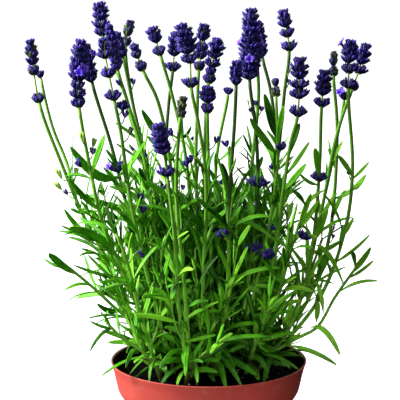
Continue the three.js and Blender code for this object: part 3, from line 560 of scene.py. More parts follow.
def grow_main_leaves(shoots, space):
    """The leaves that the solids have, in the same order and places."""
    by_name = {shoot.name: shoot for shoot in shoots}
    for name, height, tip, width, rise in PLACED_LEAVES:
        tips = (np.array(tip) + Y_AXIS * shift for shift in TIP_SHIFTS)
        grow_to_tip(by_name[name], height, tips, 2 * rise, width, space, turned=FACE_FRONT)
    for shoot in shoots:
        if shoot.parent and shoot.head:
            continue
        start = LEAF_START if shoot.parent else LEAF_START + ROOT_DEPTH
        end = start + LEAFY_SHARE * (shoot.stem_end - start) if shoot.head else shoot.length - 2
        spacing = STEM_LEAF_SPACING if shoot.head else SHOOT_LEAF_SPACING
        pairs = max(1, math.floor((end - start) / spacing + 0.5))
        for pair in range(pairs + 1):
            distance = start + (end - start) * pair / pairs
            for k in range(2):
                azimuth = shoot.index + pair * PAIR_TURN + k * math.pi
                draw = seeded(1000 * shoot.index + 10 * pair + k + 1)
                grow_by_rule(shoot, distance, azimuth, draw, space, MAIN_RULE)
    for shoot in shoots:
        shoot.leaves = [leaf for leaf in shoot.leaves if leaf.turned or not stands_out(leaf.tip)]


def fill_space(shoots, space):
    """Takes the space of all stems and heads before a leaf grows."""
    for shoot in shoots:
        for distance in np.arange(0, shoot.stem_end, BALL_STEP):
            space.take(shoot.on_stem(distance), 1.3 * STEM_HALF_WIDTH, shoot.name)
        for whorl_distance, radius, _ in shoot.whorls + shoot.collar:
            centre = Frame(shoot.spine, shoot.length - whorl_distance).centre
            space.take(centre, radius + WHORL_MARGIN, shoot.name)


# Finer growth: leaves that the solids leave out

NODE_SPACING = 24
TWIG_NODE_SPACING = 15
PAIR_CHANCE = 0.85
NODE_TURN = math.pi / 2
SHOOT_TURN = 2.4
TUFT_CHANCE = 0.8
TUFT_TURN = 0.9
EXTRA_SHARE = 0.68
EXTRA_START, SIDE_START, TWIG_START = 9, 7, 9
HEAD_SHRINK, SHOOT_SHRINK, TWIG_SHRINK = 0.35, 0.1, 0.45
TIP_GAP = 0.5
BARE_SHARE = 0.55
EXTRA_CLEARANCE = -0.5
EXTRA_RULE = Rule((0.1, 0.55), (18, 42), (-0.5, 0.4), (2.3, 4.2), 6, 0.5, 0.35, 0.06, EXTRA_CLEARANCE, True)
TUFT_RULE = EXTRA_RULE._replace(lean=(0.15, 0.8), length=(9, 22), width=(1.7, 2.9))
LOW_RULE = EXTRA_RULE._replace(lean=(0.7, 1.35), length=(24, 44), droop=(0.2, 1.0), width=(5.2, 7.6))
BASAL_RULE = EXTRA_RULE._replace(width=(3.6, 5.4), clearance=-1.6)
LOW_LEAVES = 9
LOW_LEAVES_IN_FRONT = 18
LOW_FRONT_EDGE = 16
LOW_SPREAD = 2.6
LOW_PLACES = (6, 20)
TWIGS_AT_BACK = 3
TWIGS_IN_FRONT = 1
FRONT_EDGE = -8
TWIG_TRIES = 12
TWIG_LENGTH = (45, 100)
TWIG_HALF = 0.8
TWIG_TOP = 235
TWIG_PLACES = (0.12, 0.4)
TWIG_SPREAD = (0.22, 0.2)
TWIG_RISE = 0.7
TWIG_CLEARANCE = -0.2
BASAL_PER_STEM = 4
BASAL_HEIGHT = (40, 118)
BASAL_SPACING = 10
BASAL_DEPTH = 3
BASAL_START = 6
BASAL_SHRINK = 0.3
BASAL_REACH = (5, 9)
FRONT_LEAF_TRIES = 10
FRONT_LEAF_ARCH = 7
FRONT_LEAF_SHIFT = 1.2
OPEN_SIDE_X = 56
OPEN_SIDE_HEIGHTS = (176, 264)
OPEN_SIDE_CHANCE = 0.2
REACH_HEIGHTS = (104, 124, 153, 182, 204, 226, 262, 300)
REACH_RADII = (60, 67, 78, 89, 95, 101, 100, 90)
# Old leaves that lie on the front of the soil: shoot, height of the root, tip and width
FRONT_LEAVES = (
    ("Q", 119, (63, -35, 112), 3.4), ("V", 117, (-33, -54, 105), 5.6), ("K", 116, (-18, -61, 105), 6.2),
    ("K", 121, (-3, -63, 105), 5.4), ("O3", 117, (12, -61, 105), 6.4), ("Q", 115, (26, -55, 105.5), 5.8),
    ("R", 117, (38, -48, 106), 5.0), ("bright_left", 115, (-50, -37, 106), 4.2),
    ("Q", 117, (46, -38, 106), 4.6), ("bright_left", 119, (-41, -47, 106), 4.0),
    ("mid_left", 118, (-59, -20, 111), 3.4), ("V", 113, (-25, -58, 105), 4.4),
    ("O3", 121, (20, -58, 105.5), 4.8), ("B", 117, (-55, -29, 107), 3.6),
)

# First seeds of the draws, so that no two kinds of growth share theirs
STEM_SEED, FRONT_SEED, HEAD_SEED, TWIG_SEED = 31000, 47000, 52000, 61000
EXTRA_SEED, LOW_SEED, BASAL_SEED, SOIL_SEED = 77000, 83000, 95000, 90001


def inside_reach(points):
    """The extra leaves keep within the rounded form of the plant."""
    limits = np.interp(points[:, 2], REACH_HEIGHTS, REACH_RADII)
    return bool((np.hypot(points[:, 0], points[:, 1]) < limits).all())


def on_open_side(point):
    """The right side of the plant, which the photograph shows with few leaves between the stems."""
    return point[0] > OPEN_SIDE_X and OPEN_SIDE_HEIGHTS[0] < point[2] < OPEN_SIDE_HEIGHTS[1]


def grow_twig(shoot, k, wanted, draw, space):
    """The k-th side shoot on the lower half of a stem, rising beside it, if it finds a place."""
    for _ in range(TWIG_TRIES):
        share = TWIG_PLACES[0] + TWIG_PLACES[1] * (k + draw()) / wanted
        distance = shoot.stem_end * share + (0 if shoot.parent else ROOT_DEPTH)
        length = TWIG_LENGTH[0] + (TWIG_LENGTH[1] - TWIG_LENGTH[0]) * draw()
        stem = Frame(shoot.spine, distance)
        out = stem.outward(2 * math.pi * draw())
        spread = TWIG_SPREAD[0] + TWIG_SPREAD[1] * draw()
        start = stem.centre
        rise = unit(stem.along + Z_AXIS * TWIG_RISE)
        points = [start]
        points += [start + rise * length * s + out * length * spread * s**0.6 for s in (0.3, 0.65, 1.0)]
        twig = Twig(1000 + 10 * shoot.index + k, shoot.name, None, Spine(points))
        centres = [twig.spine.place(s) for s in np.linspace(0.12, 1, 14)]
        clear = all(space.free(c.tolist(), TWIG_HALF, shoot.name, False, TWIG_CLEARANCE) for c in centres)
        tip = centres[-1]
        if clear and tip[2] < TWIG_TOP and inside_reach(np.array(centres)) and not on_open_side(tip):
            shoot.twigs.append(twig)
            for centre in centres:
                space.take(centre, TWIG_HALF, shoot.name)
            break


def grow_twigs(shoots, space):
    for shoot in shoots:
        draw = seeded(TWIG_SEED + shoot.index)
        at_back = not shoot.parent and shoot.spine.points[1][1] > FRONT_EDGE
        wanted = TWIGS_AT_BACK if at_back else TWIGS_IN_FRONT
        for k in range(wanted):
            grow_twig(shoot, k, wanted, draw, space)


def grow_basal(shoots, space):
    """Short leafy shoots from the foot of the stems, which fill the inside of the plant."""
    for shoot in shoots:
        if shoot.parent or shoot.spine.points[1][1] < FRONT_EDGE:
            continue
        draw = seeded(BASAL_SEED + shoot.index)
        for k in range(BASAL_PER_STEM):
            start = shoot.spine.place((ROOT_DEPTH - BASAL_DEPTH) / shoot.length)
            turn = 2 * math.pi * draw()
            out = np.array([math.cos(turn), math.sin(turn), 0])
            height = BASAL_HEIGHT[0] + (BASAL_HEIGHT[1] - BASAL_HEIGHT[0]) * draw()
            reach = BASAL_REACH[0] + BASAL_REACH[1] * draw()
            points = [start] + [start + out * reach * s**0.5 + Z_AXIS * height * s for s in (0.12, 0.45, 1.0)]
            basal = Twig(2000 + 10 * shoot.index + k, shoot.name, None, Spine(points))
            shoot.twigs.append(basal)
            start, end = BASAL_DEPTH + BASAL_START, basal.length - TIP_GAP
            grow_pairs(basal, draw, space, start, end, BASAL_SPACING, BASAL_SHRINK, BASAL_RULE)


def grow_pairs(shoot, draw, space, start, end, spacing, shrink, rule=EXTRA_RULE):
    """Pairs of leaves at every node from start to end, most with small ones in their axils."""
    nodes = max(2, round((end - start) / spacing))
    for node in range(nodes + 1):
        distance = start + (end - start) * (node + 0.3 * (draw() - 0.5)) / nodes
        turn = shoot.index * SHOOT_TURN + node * NODE_TURN
        size = 1 - shrink * smooth(0.4, 1, node / nodes)
        sized = rule._replace(length=[size * value for value in rule.length])
        for side in range(2):
            azimuth = turn + side * math.pi
            rules = [sized] if draw() < PAIR_CHANCE else []
            if draw() < TUFT_CHANCE and rule is EXTRA_RULE:
                rules.append(TUFT_RULE)
            for k, chosen in enumerate(rules):
                grow_by_rule(shoot, distance, azimuth + TUFT_TURN * k * (draw() - 0.5), draw, space, chosen)


def grow_front_leaves(shoots, space):
    """Old leaves that lie on the front of the soil."""
    by_name = {shoot.name: shoot for shoot in shoots}
    draw = seeded(FRONT_SEED)

    def near(tip):
        for attempt in range(FRONT_LEAF_TRIES):
            shift = np.array([draw() - 0.5, draw() - 0.5, 0.5 * draw()])
            yield np.array(tip) + shift * FRONT_LEAF_SHIFT * attempt

    for name, height, tip, width in FRONT_LEAVES:
        grow_to_tip(by_name[name], height, near(tip), FRONT_LEAF_ARCH, width, space, EXTRA_CLEARANCE)


def grow_low_leaves(shoots, space):
    """Broad old leaves near the soil, spreading towards the rim."""
    for shoot in shoots:
        if shoot.parent:
            continue
        draw = seeded(LOW_SEED + shoot.index)
        foot = shoot.spine.points[1]
        outward = math.atan2(foot[1], foot[0])
        in_front = foot[1] < LOW_FRONT_EDGE
        for k in range(LOW_LEAVES_IN_FRONT if in_front else LOW_LEAVES):
            distance = ROOT_DEPTH + LOW_PLACES[0] + LOW_PLACES[1] * draw()
            azimuth = (-math.pi / 2 if in_front and k % 2 else outward) + (draw() - 0.5) * LOW_SPREAD
            grow_by_rule(shoot, distance, azimuth, draw, space, LOW_RULE)


def grow_extra_leaves(shoots, space):
    grow_twigs(shoots, space)
    grow_front_leaves(shoots, space)
    grow_low_leaves(shoots, space)
    for shoot in shoots:
        draw = seeded(EXTRA_SEED + shoot.index)
        start = SIDE_START if shoot.parent else ROOT_DEPTH + EXTRA_START
        end = start + EXTRA_SHARE * (shoot.stem_end - start) if shoot.head else shoot.length - 1
        if shoot.name in BARE_STEMS:
            start = BARE_SHARE * shoot.stem_end
        grow_pairs(shoot, draw, space, start, end, NODE_SPACING, HEAD_SHRINK if shoot.head else SHOOT_SHRINK)
        for twig in shoot.twigs:
            end = twig.length - TIP_GAP
            grow_pairs(twig, draw, space, TWIG_START, end, TWIG_NODE_SPACING, TWIG_SHRINK)
        shoot.twigs = [twig for twig in shoot.twigs if twig.leaves]
    grow_basal(shoots, space)


# Meshes

RING_FACES = {}


def circle(count):
    """Angles of points spread evenly round a circle."""
    return 2 * math.pi * np.arange(count) / count


def ring_faces(rows, columns):
    """Triangles of a closed surface: a start point, rings of points, an end point."""
    key = (rows, columns)
    if key not in RING_FACES:
        k = np.arange(columns)
        n = (k + 1) % columns
        parts = [np.stack([np.zeros_like(k), 1 + n, 1 + k], 1)]
        for r in range(rows - 1):
            a = 1 + r * columns
            b = a + columns
            parts.append(np.stack([a + k, a + n, b + n], 1))
            parts.append(np.stack([a + k, b + n, b + k], 1))
        last = 1 + (rows - 1) * columns
        parts.append(np.stack([last + k, last + n, np.full_like(k, last + columns)], 1))
        RING_FACES[key] = np.concatenate(parts)
    return RING_FACES[key]


def closed(start, rings, end):
    """Points and triangles of rings that close in a point at each end."""
    return np.concatenate([[start], np.reshape(rings, (-1, 3)), [end]]), ring_faces(*np.shape(rings)[:2])


def tube(centre, side, front, radii):
    """Points and triangles of a tube round a line of points, with a row of radii for each ring."""
    angles = circle(radii.shape[1])
    around = side[:, None] * np.cos(angles)[:, None] + front[:, None] * np.sin(angles)[:, None]
    return closed(centre[0], centre[:, None] + radii[..., None] * around, centre[-1])


def tube_along(spine, start, end, half_start, half_end, section):
    rows = max(3, math.ceil((end - start) / STEM_ROW) + 1)
    frames = [Frame(spine, distance) for distance in np.linspace(start, end, rows)]
    centre, side, front = (np.array([getattr(f, key) for f in frames]) for key in ("centre", "side", "front"))
    return tube(centre, side, front, np.linspace(half_start, half_end, rows)[:, None] * section)


class Build:
    """Collects closed surfaces with marks on their points, and makes one smooth mesh of them."""

    def __init__(self, marks):
        self.names = marks
        self.points, self.faces, self.marks = [], [], []
        self.count = 0

    def add(self, points, faces, **marks):
        self.points.append(points)
        self.faces.append(faces + self.count)
        self.marks.append(np.stack([np.broadcast_to(marks[n], len(points)) for n in self.names], 1))
        self.count += len(points)

    def piece(self, name, material, slot, *replaced):
        points = np.concatenate(self.points) * MM
        faces = np.concatenate(self.faces)
        marks = np.concatenate(self.marks)
        mesh = bpy.data.meshes.new(name)
        mesh.vertices.add(len(points))
        mesh.vertices.foreach_set("co", points.astype(np.float32).ravel())
        mesh.loops.add(faces.size)
        mesh.loops.foreach_set("vertex_index", faces.astype(np.int32).ravel())
        mesh.polygons.add(len(faces))
        mesh.polygons.foreach_set("loop_start", np.arange(0, faces.size, 3, dtype=np.int32))
        mesh.update(calc_edges=True)
        for column, mark in enumerate(self.names):
            layer = mesh.attributes.new(mark, "FLOAT", "POINT")
            layer.data.foreach_set("value", marks[:, column].astype(np.float32))
        smoothed(mesh, material).validate()
        place_piece(name, mesh, slot, *replaced)


def smoothed(mesh, material):
    """The mesh with smooth faces of one material."""
    mesh.polygons.foreach_set("use_smooth", np.ones(len(mesh.polygons), bool))
    mesh.materials.clear()
    mesh.materials.append(material)
    return mesh


def linked(name, data):
    """A new object in the scene."""
    thing = bpy.data.objects.new(name, data)
    bpy.context.scene.collection.objects.link(thing)
    return thing


def place_piece(name, mesh, slot, *replaced):
    piece = linked(name, mesh)
    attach(piece, "root")
    if replaced:
        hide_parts(*replaced)


# Stems

STEM_ROW = 6
STEM_SECTION = np.array([0.96, 1.2] * 4)
STEM_FOOT_HALF = 1.5
STEM_TOP_HALF = 1.25
SIDE_SHARE = 0.82
INNER_STEM_TONE = 0.85
PALE_HEIGHTS = (185, 225)
SOIL_SHADE = 35
BARE_STEMS = ("O3",)
STEM_TONES = {
    "B2": 0.2, "I": 0.15, "O1": 0.0, "O3": 0.12, "T": 0.75, "R": 0.4, "M": 0.3, "P": 0.25, "O4": 0.2,
    "D": 1.0, "D2": 0.95, "D3": 0.3, "F": 0.6, "N": 0.95, "L": 0.8, "A": 0.9, "S": 0.9,
    "side_right": 1.0, "side_left": 0.9,
}
# Painted light: extra paleness on the leaves of two side shoots
PAINTED_LIGHT_LIFTS = {"side_right": 0.45, "side_left": 0.4}
# Painted shade and light in the leaves' tone: darker inside the plant and below the upper heights, paler on
# the right side, held down at the left edge
OUTER_RADII = (25, 65)
UPPER_HEIGHTS = (150, 215)
RIGHT_SIDE = (40, 75)
RIGHT_PAINTED_LIGHT = 0.45
LEFT_EDGE = -60
LEFT_PAINTED_SHADE_LIMIT = 0.42
LEAF_MARKS = ("tone", "along", "across", "under", "stem", "low")


def low_mark(z):
    """How near a point is to the soil: 1 at the soil, 0 from 35 mm above it."""
    return 1 - smooth(SOIL_TOP, SOIL_TOP + SOIL_SHADE, z)


def stem_tone(top_tone, z):
    """Stems are as pale as the photograph shows them at the top, and pale green within the leaves."""
    return top_tone + (max(top_tone, INNER_STEM_TONE) - top_tone) * (1 - smooth(*PALE_HEIGHTS, z))


def add_stem(build, spine, end, half_start, half_end, tone):
    points, faces = tube_along(spine, 0, end, half_start, half_end, STEM_SECTION)
    z = points[:, 2]
    build.add(points, faces, tone=stem_tone(tone, z), along=0.5, across=0, under=0, stem=1, low=low_mark(z))


# Leaves: rings of points from root to tip, with a channel above and a rib below. Small ones have fewer

LEAF_ROWS = np.array([0.0, 0.07, 0.16, 0.28, 0.42, 0.56, 0.7, 0.83, 0.925, 0.975])
LEAF_ACROSS = np.array([1, 0.55, 0, -0.55, -1, -0.55, 0, 0.55])
LEAF_UNDER = np.array([0, 0, 0, 0, 0, 1, 1, 1])
LEAF_THICK = np.array([-0.12, 0.04, -0.1, 0.04, -0.12, -0.36, -0.62, -0.36])
SMALL_ROWS = np.array([0.0, 0.14, 0.32, 0.52, 0.72, 0.87, 0.96])
SMALL_ACROSS = np.array([1, 0, -1, -0.5, 0, 0.5])
SMALL_UNDER = np.array([0, 0, 0, 1, 1, 1])
SMALL_THICK = np.array([-0.12, -0.02, -0.12, -0.36, -0.62, -0.36])
SMALL_WIDTH = 3.0
LEAF_SLIM = 0.88
LEAF_WIDEST = 0.42
LEAF_WAVE = 0.3
ROLL_LIMIT = 1.25
PLACED_ROLL = 0.15
TWIST = 0.7
LIGHT_SIDE = np.array([-0.6, -0.5, 0.35])


def leaf_width(share):
    rise = smooth(-0.05, LEAF_WIDEST, share)
    fall = np.sqrt(1 - np.clip((share - LEAF_WIDEST) / 0.58, 0, 1) ** 2.7)
    return (0.3 + 0.7 * rise) * fall


def roll_to_light(across, upper, centre, share):
    """Angle that turns a blade's upper side towards the light and outwards."""
    outward = centre * (1, 1, 0)
    outward /= math.sqrt(outward @ outward) + 1
    facing = outward * 0.35 + LIGHT_SIDE
    roll = math.atan2(-(facing @ across), facing @ upper)
    return share * max(-ROLL_LIMIT, min(ROLL_LIMIT, roll))


def leaf_tone_and_painted_light(leaf, middle, draw):
    """How pale a leaf is: a random tone, with painted shade inside the plant and low down, painted light on
    the right side and on two side shoots, and held down at the left edge as painted shade against the strong
    key light.
    """
    inner = smooth(*OUTER_RADII, math.hypot(*middle[:2]))
    shade = 0.3 + 0.7 * max(inner, 0.6 * smooth(*UPPER_HEIGHTS, middle[2]))
    painted_right_light = RIGHT_PAINTED_LIGHT * smooth(*RIGHT_SIDE, middle[0])
    tone = 0.1 + 0.45 * draw() if leaf.turned else shade * draw()
    tone = tone + painted_right_light + PAINTED_LIGHT_LIFTS.get(leaf.shoot.name, 0)
    return min(tone, LEFT_PAINTED_SHADE_LIMIT) if middle[0] < LEFT_EDGE else tone


def add_leaf(build, leaf, draw):
    if leaf.width < SMALL_WIDTH:
        s, ring_across, ring_under, ring_thick = SMALL_ROWS, SMALL_ACROSS, SMALL_UNDER, SMALL_THICK
    else:
        s, ring_across, ring_under, ring_thick = LEAF_ROWS, LEAF_ACROSS, LEAF_UNDER, LEAF_THICK
    middle = len(s) // 2
    centre = leaf.at(s)
    slope = 2 * (1 - s)[:, None] * (leaf.control - leaf.root) + 2 * s[:, None] * (leaf.tip - leaf.control)
    along = slope / np.linalg.norm(slope, axis=1)[:, None]
    across = leaf.across - along * (along @ leaf.across)[:, None]
    across /= np.linalg.norm(across, axis=1)[:, None]
    upper = np.cross(along, across)
    share = PLACED_ROLL if leaf.turned else 0.3 + 0.7 * draw()
    roll = roll_to_light(across[middle], upper[middle], centre[middle], share)
    turn = roll * smooth(0, 0.38, s) + (draw() - 0.5) * TWIST * s
    turned = across * np.cos(turn)[:, None] + upper * np.sin(turn)[:, None]
    upper = np.cross(along, turned)
    size = min(1, leaf.width / SMALL_WIDTH)
    wave = LEAF_WAVE * size * np.sin(s * 6 + 6.28 * draw()) * smooth(0, 0.3, s)
    half = 0.5 * LEAF_SLIM * leaf.width * leaf_width(s)
    reach = np.abs(ring_across)
    channel = 0.3 + 0.5 * draw()
    lift = half[:, None] * channel * (1.3 * reach - 0.8 * reach**2)
    thick = ring_thick * size * (1 - 0.45 * smooth(0.55, 1, s))[:, None]
    level = lift + thick + (wave + 0.18)[:, None]
    rings = centre[:, None] + turned[:, None] * (half[:, None] * ring_across)[..., None]
    rings = rings + upper[:, None] * level[..., None]
    points, faces = closed(leaf.root - along[0] * LEAF_SINK, rings, leaf.tip)
    marks = {
        "tone": leaf_tone_and_painted_light(leaf, centre[middle], draw),
        "along": np.concatenate([[0], np.repeat(s, len(ring_across)), [1]]),
        "across": np.concatenate([[0], np.tile(ring_across, len(s)), [0]]),
        "under": np.concatenate([[0], np.tile(ring_under, len(s)), [0]]),
    }
    build.add(points, faces, stem=0, low=low_mark(points[:, 2]), **marks)


def make_leafy_stems(shoots, material):
    by_name = {shoot.name: shoot for shoot in shoots}

    def rooted(shoot):
        return rooted(by_name[shoot.parent]) if shoot.parent else shoot

    for main in (shoot for shoot in shoots if not shoot.parent):
        build = Build(LEAF_MARKS)
        for shoot in (shoot for shoot in shoots if rooted(shoot) is main):
            draw = seeded(STEM_SEED + shoot.index)
            slim = SIDE_SHARE if shoot.parent else 1
            tone = STEM_TONES.get(shoot.name, 0.4 + 0.6 * draw())
            add_stem(build, shoot.spine, shoot.stem_end, slim * STEM_FOOT_HALF, slim * STEM_TOP_HALF, tone)
            for twig in shoot.twigs:
                add_stem(build, twig.spine, twig.length, TWIG_HALF, 0.5 * TWIG_HALF, draw())
            for leaf in (leaf for grown in (shoot, *shoot.twigs) for leaf in grown.leaves):
                add_leaf(build, leaf, draw)
        build.piece(f"stem_and_leaves_{main.name}", material, "leaf", f"leafy_stem_{main.name}")


# Flower heads: each whorl is a ring of calyxes on the stem, some with an open corolla

FINE_SPACING = 4.1
CALYX_LENGTH = 6.2
CALYX_SIDES = 8
CALYX_RIB = 0.09
CALYX_PROFILE = ((0.4, 0.0), (0.76, 0.9), (1.0, 2.5), (1.1, 4.1), (1.0, 5.3), (0.55, 4.9))
CALYX_TEETH = 0.9
TOOTH_FLARE = 0.22
BUD_SIDES = 6
BUD_PROFILE = ((0.66, 4.9), (0.74, 5.8), (0.46, 6.6))
BUD_TIP = 7.1
BUD_SHADE = 0.4
BUD_CHANCE = 0.3
COROLLA_SIDES = 20
COROLLA_PROFILE = (
    (0.8, -0.4, 0), (0.95, 2.0, 0), (1.4, 3.2, 0.2), (2.6, 3.9, 0.7), (3.8, 4.1, 1),
    (3.85, 4.35, 1), (2.6, 4.2, 0.7), (1.2, 3.6, 0.2), (0.6, 2.6, 0),
)
CALYX_BASE_DROP = 3.0
CALYX_BASE_REACH = 0.6
CALYX_PITCH = 2.2
CALYX_ENDS_APART = 1.8
CALYXES_ROUND = (5, 11)
OUTER_RISE, INNER_RISE, INNER_REACH = 1.9, 3.2, 0.5
WHORL_SAG = 0.35
WHORL_TURN = 0.7
LOOSE = 0.95
CROWN = 6
CROWN_DEPTH = 5
CROWN_TURN = 2.4
TIP_GREEN = 0.75
FAN_SPREAD = 0.64
FANS = ((5, 1.0, 1.1, 0.8), (3, 0.68, 2.7, 0.5), (1, 0.34, 3.2, 0.2))
BRACT_SIZE = 0.6
STALK_HALF = 0.42
FLOWER_MARKS = ("tone", "along", "kind")
CALYX, COROLLA, GREEN, BRIGHT = 0.0, 1.0, 2.0, 3.0
STALK_MARKS = {"tone": 0.5, "along": 0.5, "kind": BRIGHT}
PLAIN, OPEN, OLIVE, SPRING = 0, 1, 2, 3
CLUSTER_KINDS = {OLIVE: GREEN, SPRING: BRIGHT}

# Open flowers: shoot, distance from the tip in mm, angle round the stem with the front at -1.57, and size
OPEN_FLOWERS = (
    ("B", 22, -1.9, 1.0), ("B", 22, -1.2, 1.0), ("B", 26, -1.4, 0.95), ("B2", 12, -0.7, 0.9),
    ("B2", 90, -2.6, 0.8), ("B2", 90, -0.6, 0.8), ("O1", 27, -2.8, 0.8), ("O1", 27, -0.3, 0.8),
    ("O1", 40, -1.7, 0.9),
    ("T", 7, -3.0, 0.95), ("U", 16, -2.2, 0.8), ("T2", 2, -2.6, 0.95),
    ("I", 12, 1.5, 0.8), ("O4", 8, 1.2, 0.8), ("D3", 9, 1.9, 0.8), ("O2", 12, 0.9, 0.8),
)

# Clusters down the stems: shoot, height, distance to the right of the stem, calyxes, size and sort
CLUSTERS = (
    ("E", 299, 3.7, 7, 1.1, PLAIN), ("E", 293, 4.4, 4, 0.8, PLAIN), ("E", 281, 5.6, 4, 0.85, OLIVE),
    ("E", 342, 0.8, 1, 0.75, SPRING), ("E", 235, 6.0, 4, 0.9, PLAIN), ("E", 226, 5.9, 4, 0.9, PLAIN),
    ("E", 194, -0.1, 2, 0.6, OPEN), ("E", 192, 3.4, 2, 0.7, PLAIN), ("D2", 310, -1.5, 2, 0.7, PLAIN),
    ("D2", 265, -5.7, 2, 0.5, PLAIN), ("D2", 258, 1.5, 2, 0.5, PLAIN), ("F", 300, 2.7, 3, 0.8, PLAIN),
    ("B", 259, -5.9, 3, 0.95, PLAIN), ("B", 266, 3.5, 3, 0.85, PLAIN), ("B", 276, -0.9, 2, 1.3, SPRING),
    ("B", 272, 4.7, 2, 1.2, SPRING), ("A", 234, -4.0, 3, 0.65, PLAIN), ("A", 227, 3.4, 2, 0.5, PLAIN),
    ("A", 247, -3.6, 2, 1.3, SPRING), ("A", 240, -6.6, 2, 1.3, SPRING), ("A2", 244, 3.5, 2, 1.1, SPRING),
    ("K", 285, -4.6, 3, 0.9, PLAIN), ("K", 247, 3.9, 3, 0.6, PLAIN), ("H", 247, -0.4, 4, 0.85, PLAIN),
    ("L", 253, -3.4, 5, 0.95, PLAIN), ("L", 267, -2.3, 2, 0.5, PLAIN), ("N", 273, 5.3, 4, 0.85, PLAIN),
    ("N", 210, 1.2, 6, 1.0, PLAIN), ("O3", 275, -4.1, 3, 0.85, PLAIN), ("O3", 212, -3.5, 6, 1.05, PLAIN),
    ("O3", 247, -5.6, 2, 0.55, PLAIN), ("O2", 293, -1.9, 3, 0.7, PLAIN), ("O2", 289, 2.5, 3, 0.7, PLAIN),
    ("O1", 293, -1.8, 2, 0.6, PLAIN), ("O1", 298, -2.8, 1, 0.7, SPRING), ("O1", 194, -0.5, 7, 1.0, PLAIN),
    ("O1", 196, 3.5, 5, 0.9, PLAIN), ("O1", 190, 3.5, 1, 0.55, OPEN), ("P", 313, 1.0, 1, 0.6, OLIVE),
    ("P", 306, 2.2, 2, 0.6, PLAIN), ("K2", 268, 2.2, 5, 1.0, PLAIN), ("K2", 253, -3.3, 3, 0.7, PLAIN),
    ("Q", 193, -3.5, 8, 1.25, PLAIN), ("Q", 212, -3.1, 3, 0.65, PLAIN), ("Q", 245, 5.1, 3, 0.7, PLAIN),
    ("pair_right", 212, 4.7, 6, 1.0, PLAIN), ("T", 247, -2.4, 2, 0.5, PLAIN), ("V", 249, -2.5, 2, 0.5, PLAIN),
    ("S", 163, 0.0, 4, 0.85, PLAIN), ("S", 193, 2.7, 2, 0.6, PLAIN), ("S", 199, 1.6, 1, 0.6, OPEN),
)

# Share of greyish-green calyxes in a head, heads with a greenish tip, and with bright bracts
GREEN_SHARE = {"A": 0.22, "F": 0.4, "G": 0.4, "K": 0.6, "K2": 0.6, "S": 0.6, "O5": 0.15, "L": 0.12}
GREEN_TIPS = ("A", "F", "J", "K", "K2", "Q", "R", "S", "U")
BRIGHT_BRACTS = ("E",)


def closed_rings(profile, sides, rib, teeth, start, end):
    """A small hollow-mouthed body on the Z axis, closed at the heights start and end."""
    odd = np.arange(sides) % 2
    rings = []
    for row, (radius, z) in enumerate(profile):
        mouth = row == len(profile) - 2 and teeth
        r = radius * (1 + rib * np.where(odd, 1, -1) + (TOOTH_FLARE * odd if mouth else 0))
        rings.append(ring_at(r, circle(sides), z + (teeth * odd if mouth else 0)))
    return closed([0, 0, start], rings, [0, 0, end])


def ring_at(radius, angles, z):
    """Points at angles round the Z axis."""
    return np.stack([radius * np.cos(angles), radius * np.sin(angles), np.broadcast_to(z, len(angles))], 1)


def calyx_form():
    points, faces = closed_rings(CALYX_PROFILE, CALYX_SIDES, CALYX_RIB, CALYX_TEETH, -0.1, 4.6)
    return points, faces, np.clip(points[:, 2] / CALYX_LENGTH, 0, 1)


def bud_form():
    points, faces = closed_rings(BUD_PROFILE, BUD_SIDES, 0, 0, 4.7, BUD_TIP)
    return points, faces, np.full(len(points), BUD_SHADE)


def corolla_form():
    """A short tube with two lips: two broad lobes above and three smaller ones below."""
    angles = circle(COROLLA_SIDES)
    lobes = 0.6 + 0.4 * np.abs(np.cos(2.5 * angles)) ** 0.5
    broad = 1 + 0.18 * np.cos(angles)
    rings = []
    for radius, z, lobed in COROLLA_PROFILE:
        ruffle = 0.35 * lobed * np.sin(5 * angles) + 0.5 * lobed * np.cos(angles)
        rings.append(ring_at(radius * (1 - lobed + lobed * lobes * broad), angles, z + ruffle))
    points, faces = closed([0, 0, -0.6], rings, [0, 0, 1.6])
    return points, faces, np.clip(np.hypot(points[:, 0], points[:, 1]) / 3, 0, 1)


CALYX_FORM = calyx_form()
BUD_FORM = bud_form()
COROLLA_FORM = corolla_form()


def add_form(build, form, base, direction, up, size, width, tone, kind, sag=0.0):
    """Sets a form on base, its Z axis along direction and its X axis towards up, bent by sag."""
    points, faces, along = form
    z = unit(direction)
    x = unit(up - z * (up @ z))
    y = np.cross(z, x)
    placed = base + np.outer(points[:, 0] * width, x) + np.outer(points[:, 1] * width, y)
    share = np.clip(points[:, 2] / CALYX_LENGTH, 0, 1)
    placed = placed + np.outer(points[:, 2] * size, z) - np.outer(4 * sag * share * (1 - share), x)
    build.add(placed, faces, tone=tone, along=along, kind=kind)


def add_calyx(build, base, tip, up, width, draw, kind=CALYX, opened=0, sag=0.0):
    """A calyx from base to tip, which may hold a violet bud or an open flower of the given size."""
    direction = tip - base
    size = math.sqrt(direction @ direction) / CALYX_LENGTH
    tone = draw()
    add_form(build, CALYX_FORM, base, direction, up, size, width, tone, kind, sag)
    if opened:
        mouth = base + direction * 0.75
        add_form(build, COROLLA_FORM, mouth, direction + up * 0.5, up, opened, opened, tone, COROLLA)
    elif kind == CALYX and draw() < BUD_CHANCE:
        add_form(build, BUD_FORM, base, direction, up, size, width, tone, COROLLA, sag)


def add_whorl_calyx(build, shoot, below, level, angle, spread, height, opened, width, sag, draw):
    """A calyx of a whorl, open where the list of open flowers has one at its angle."""
    base = below.centre + below.outward(angle) * CALYX_BASE_REACH
    tip = level.centre + level.outward(angle) * spread + level.along * height
    kind = GREEN if draw() < GREEN_SHARE.get(shoot.name, 0) else CALYX
    add_calyx(build, base, tip, level.along, width + 0.2 * draw(), draw, kind, opened, sag)


def open_size(opened, angle, within):
    """The size of the open flower that is listed within a turn from an angle, or 0."""
    return next((s for a, s in opened if abs((angle - a + math.pi) % (2 * math.pi) - math.pi) < within), 0)


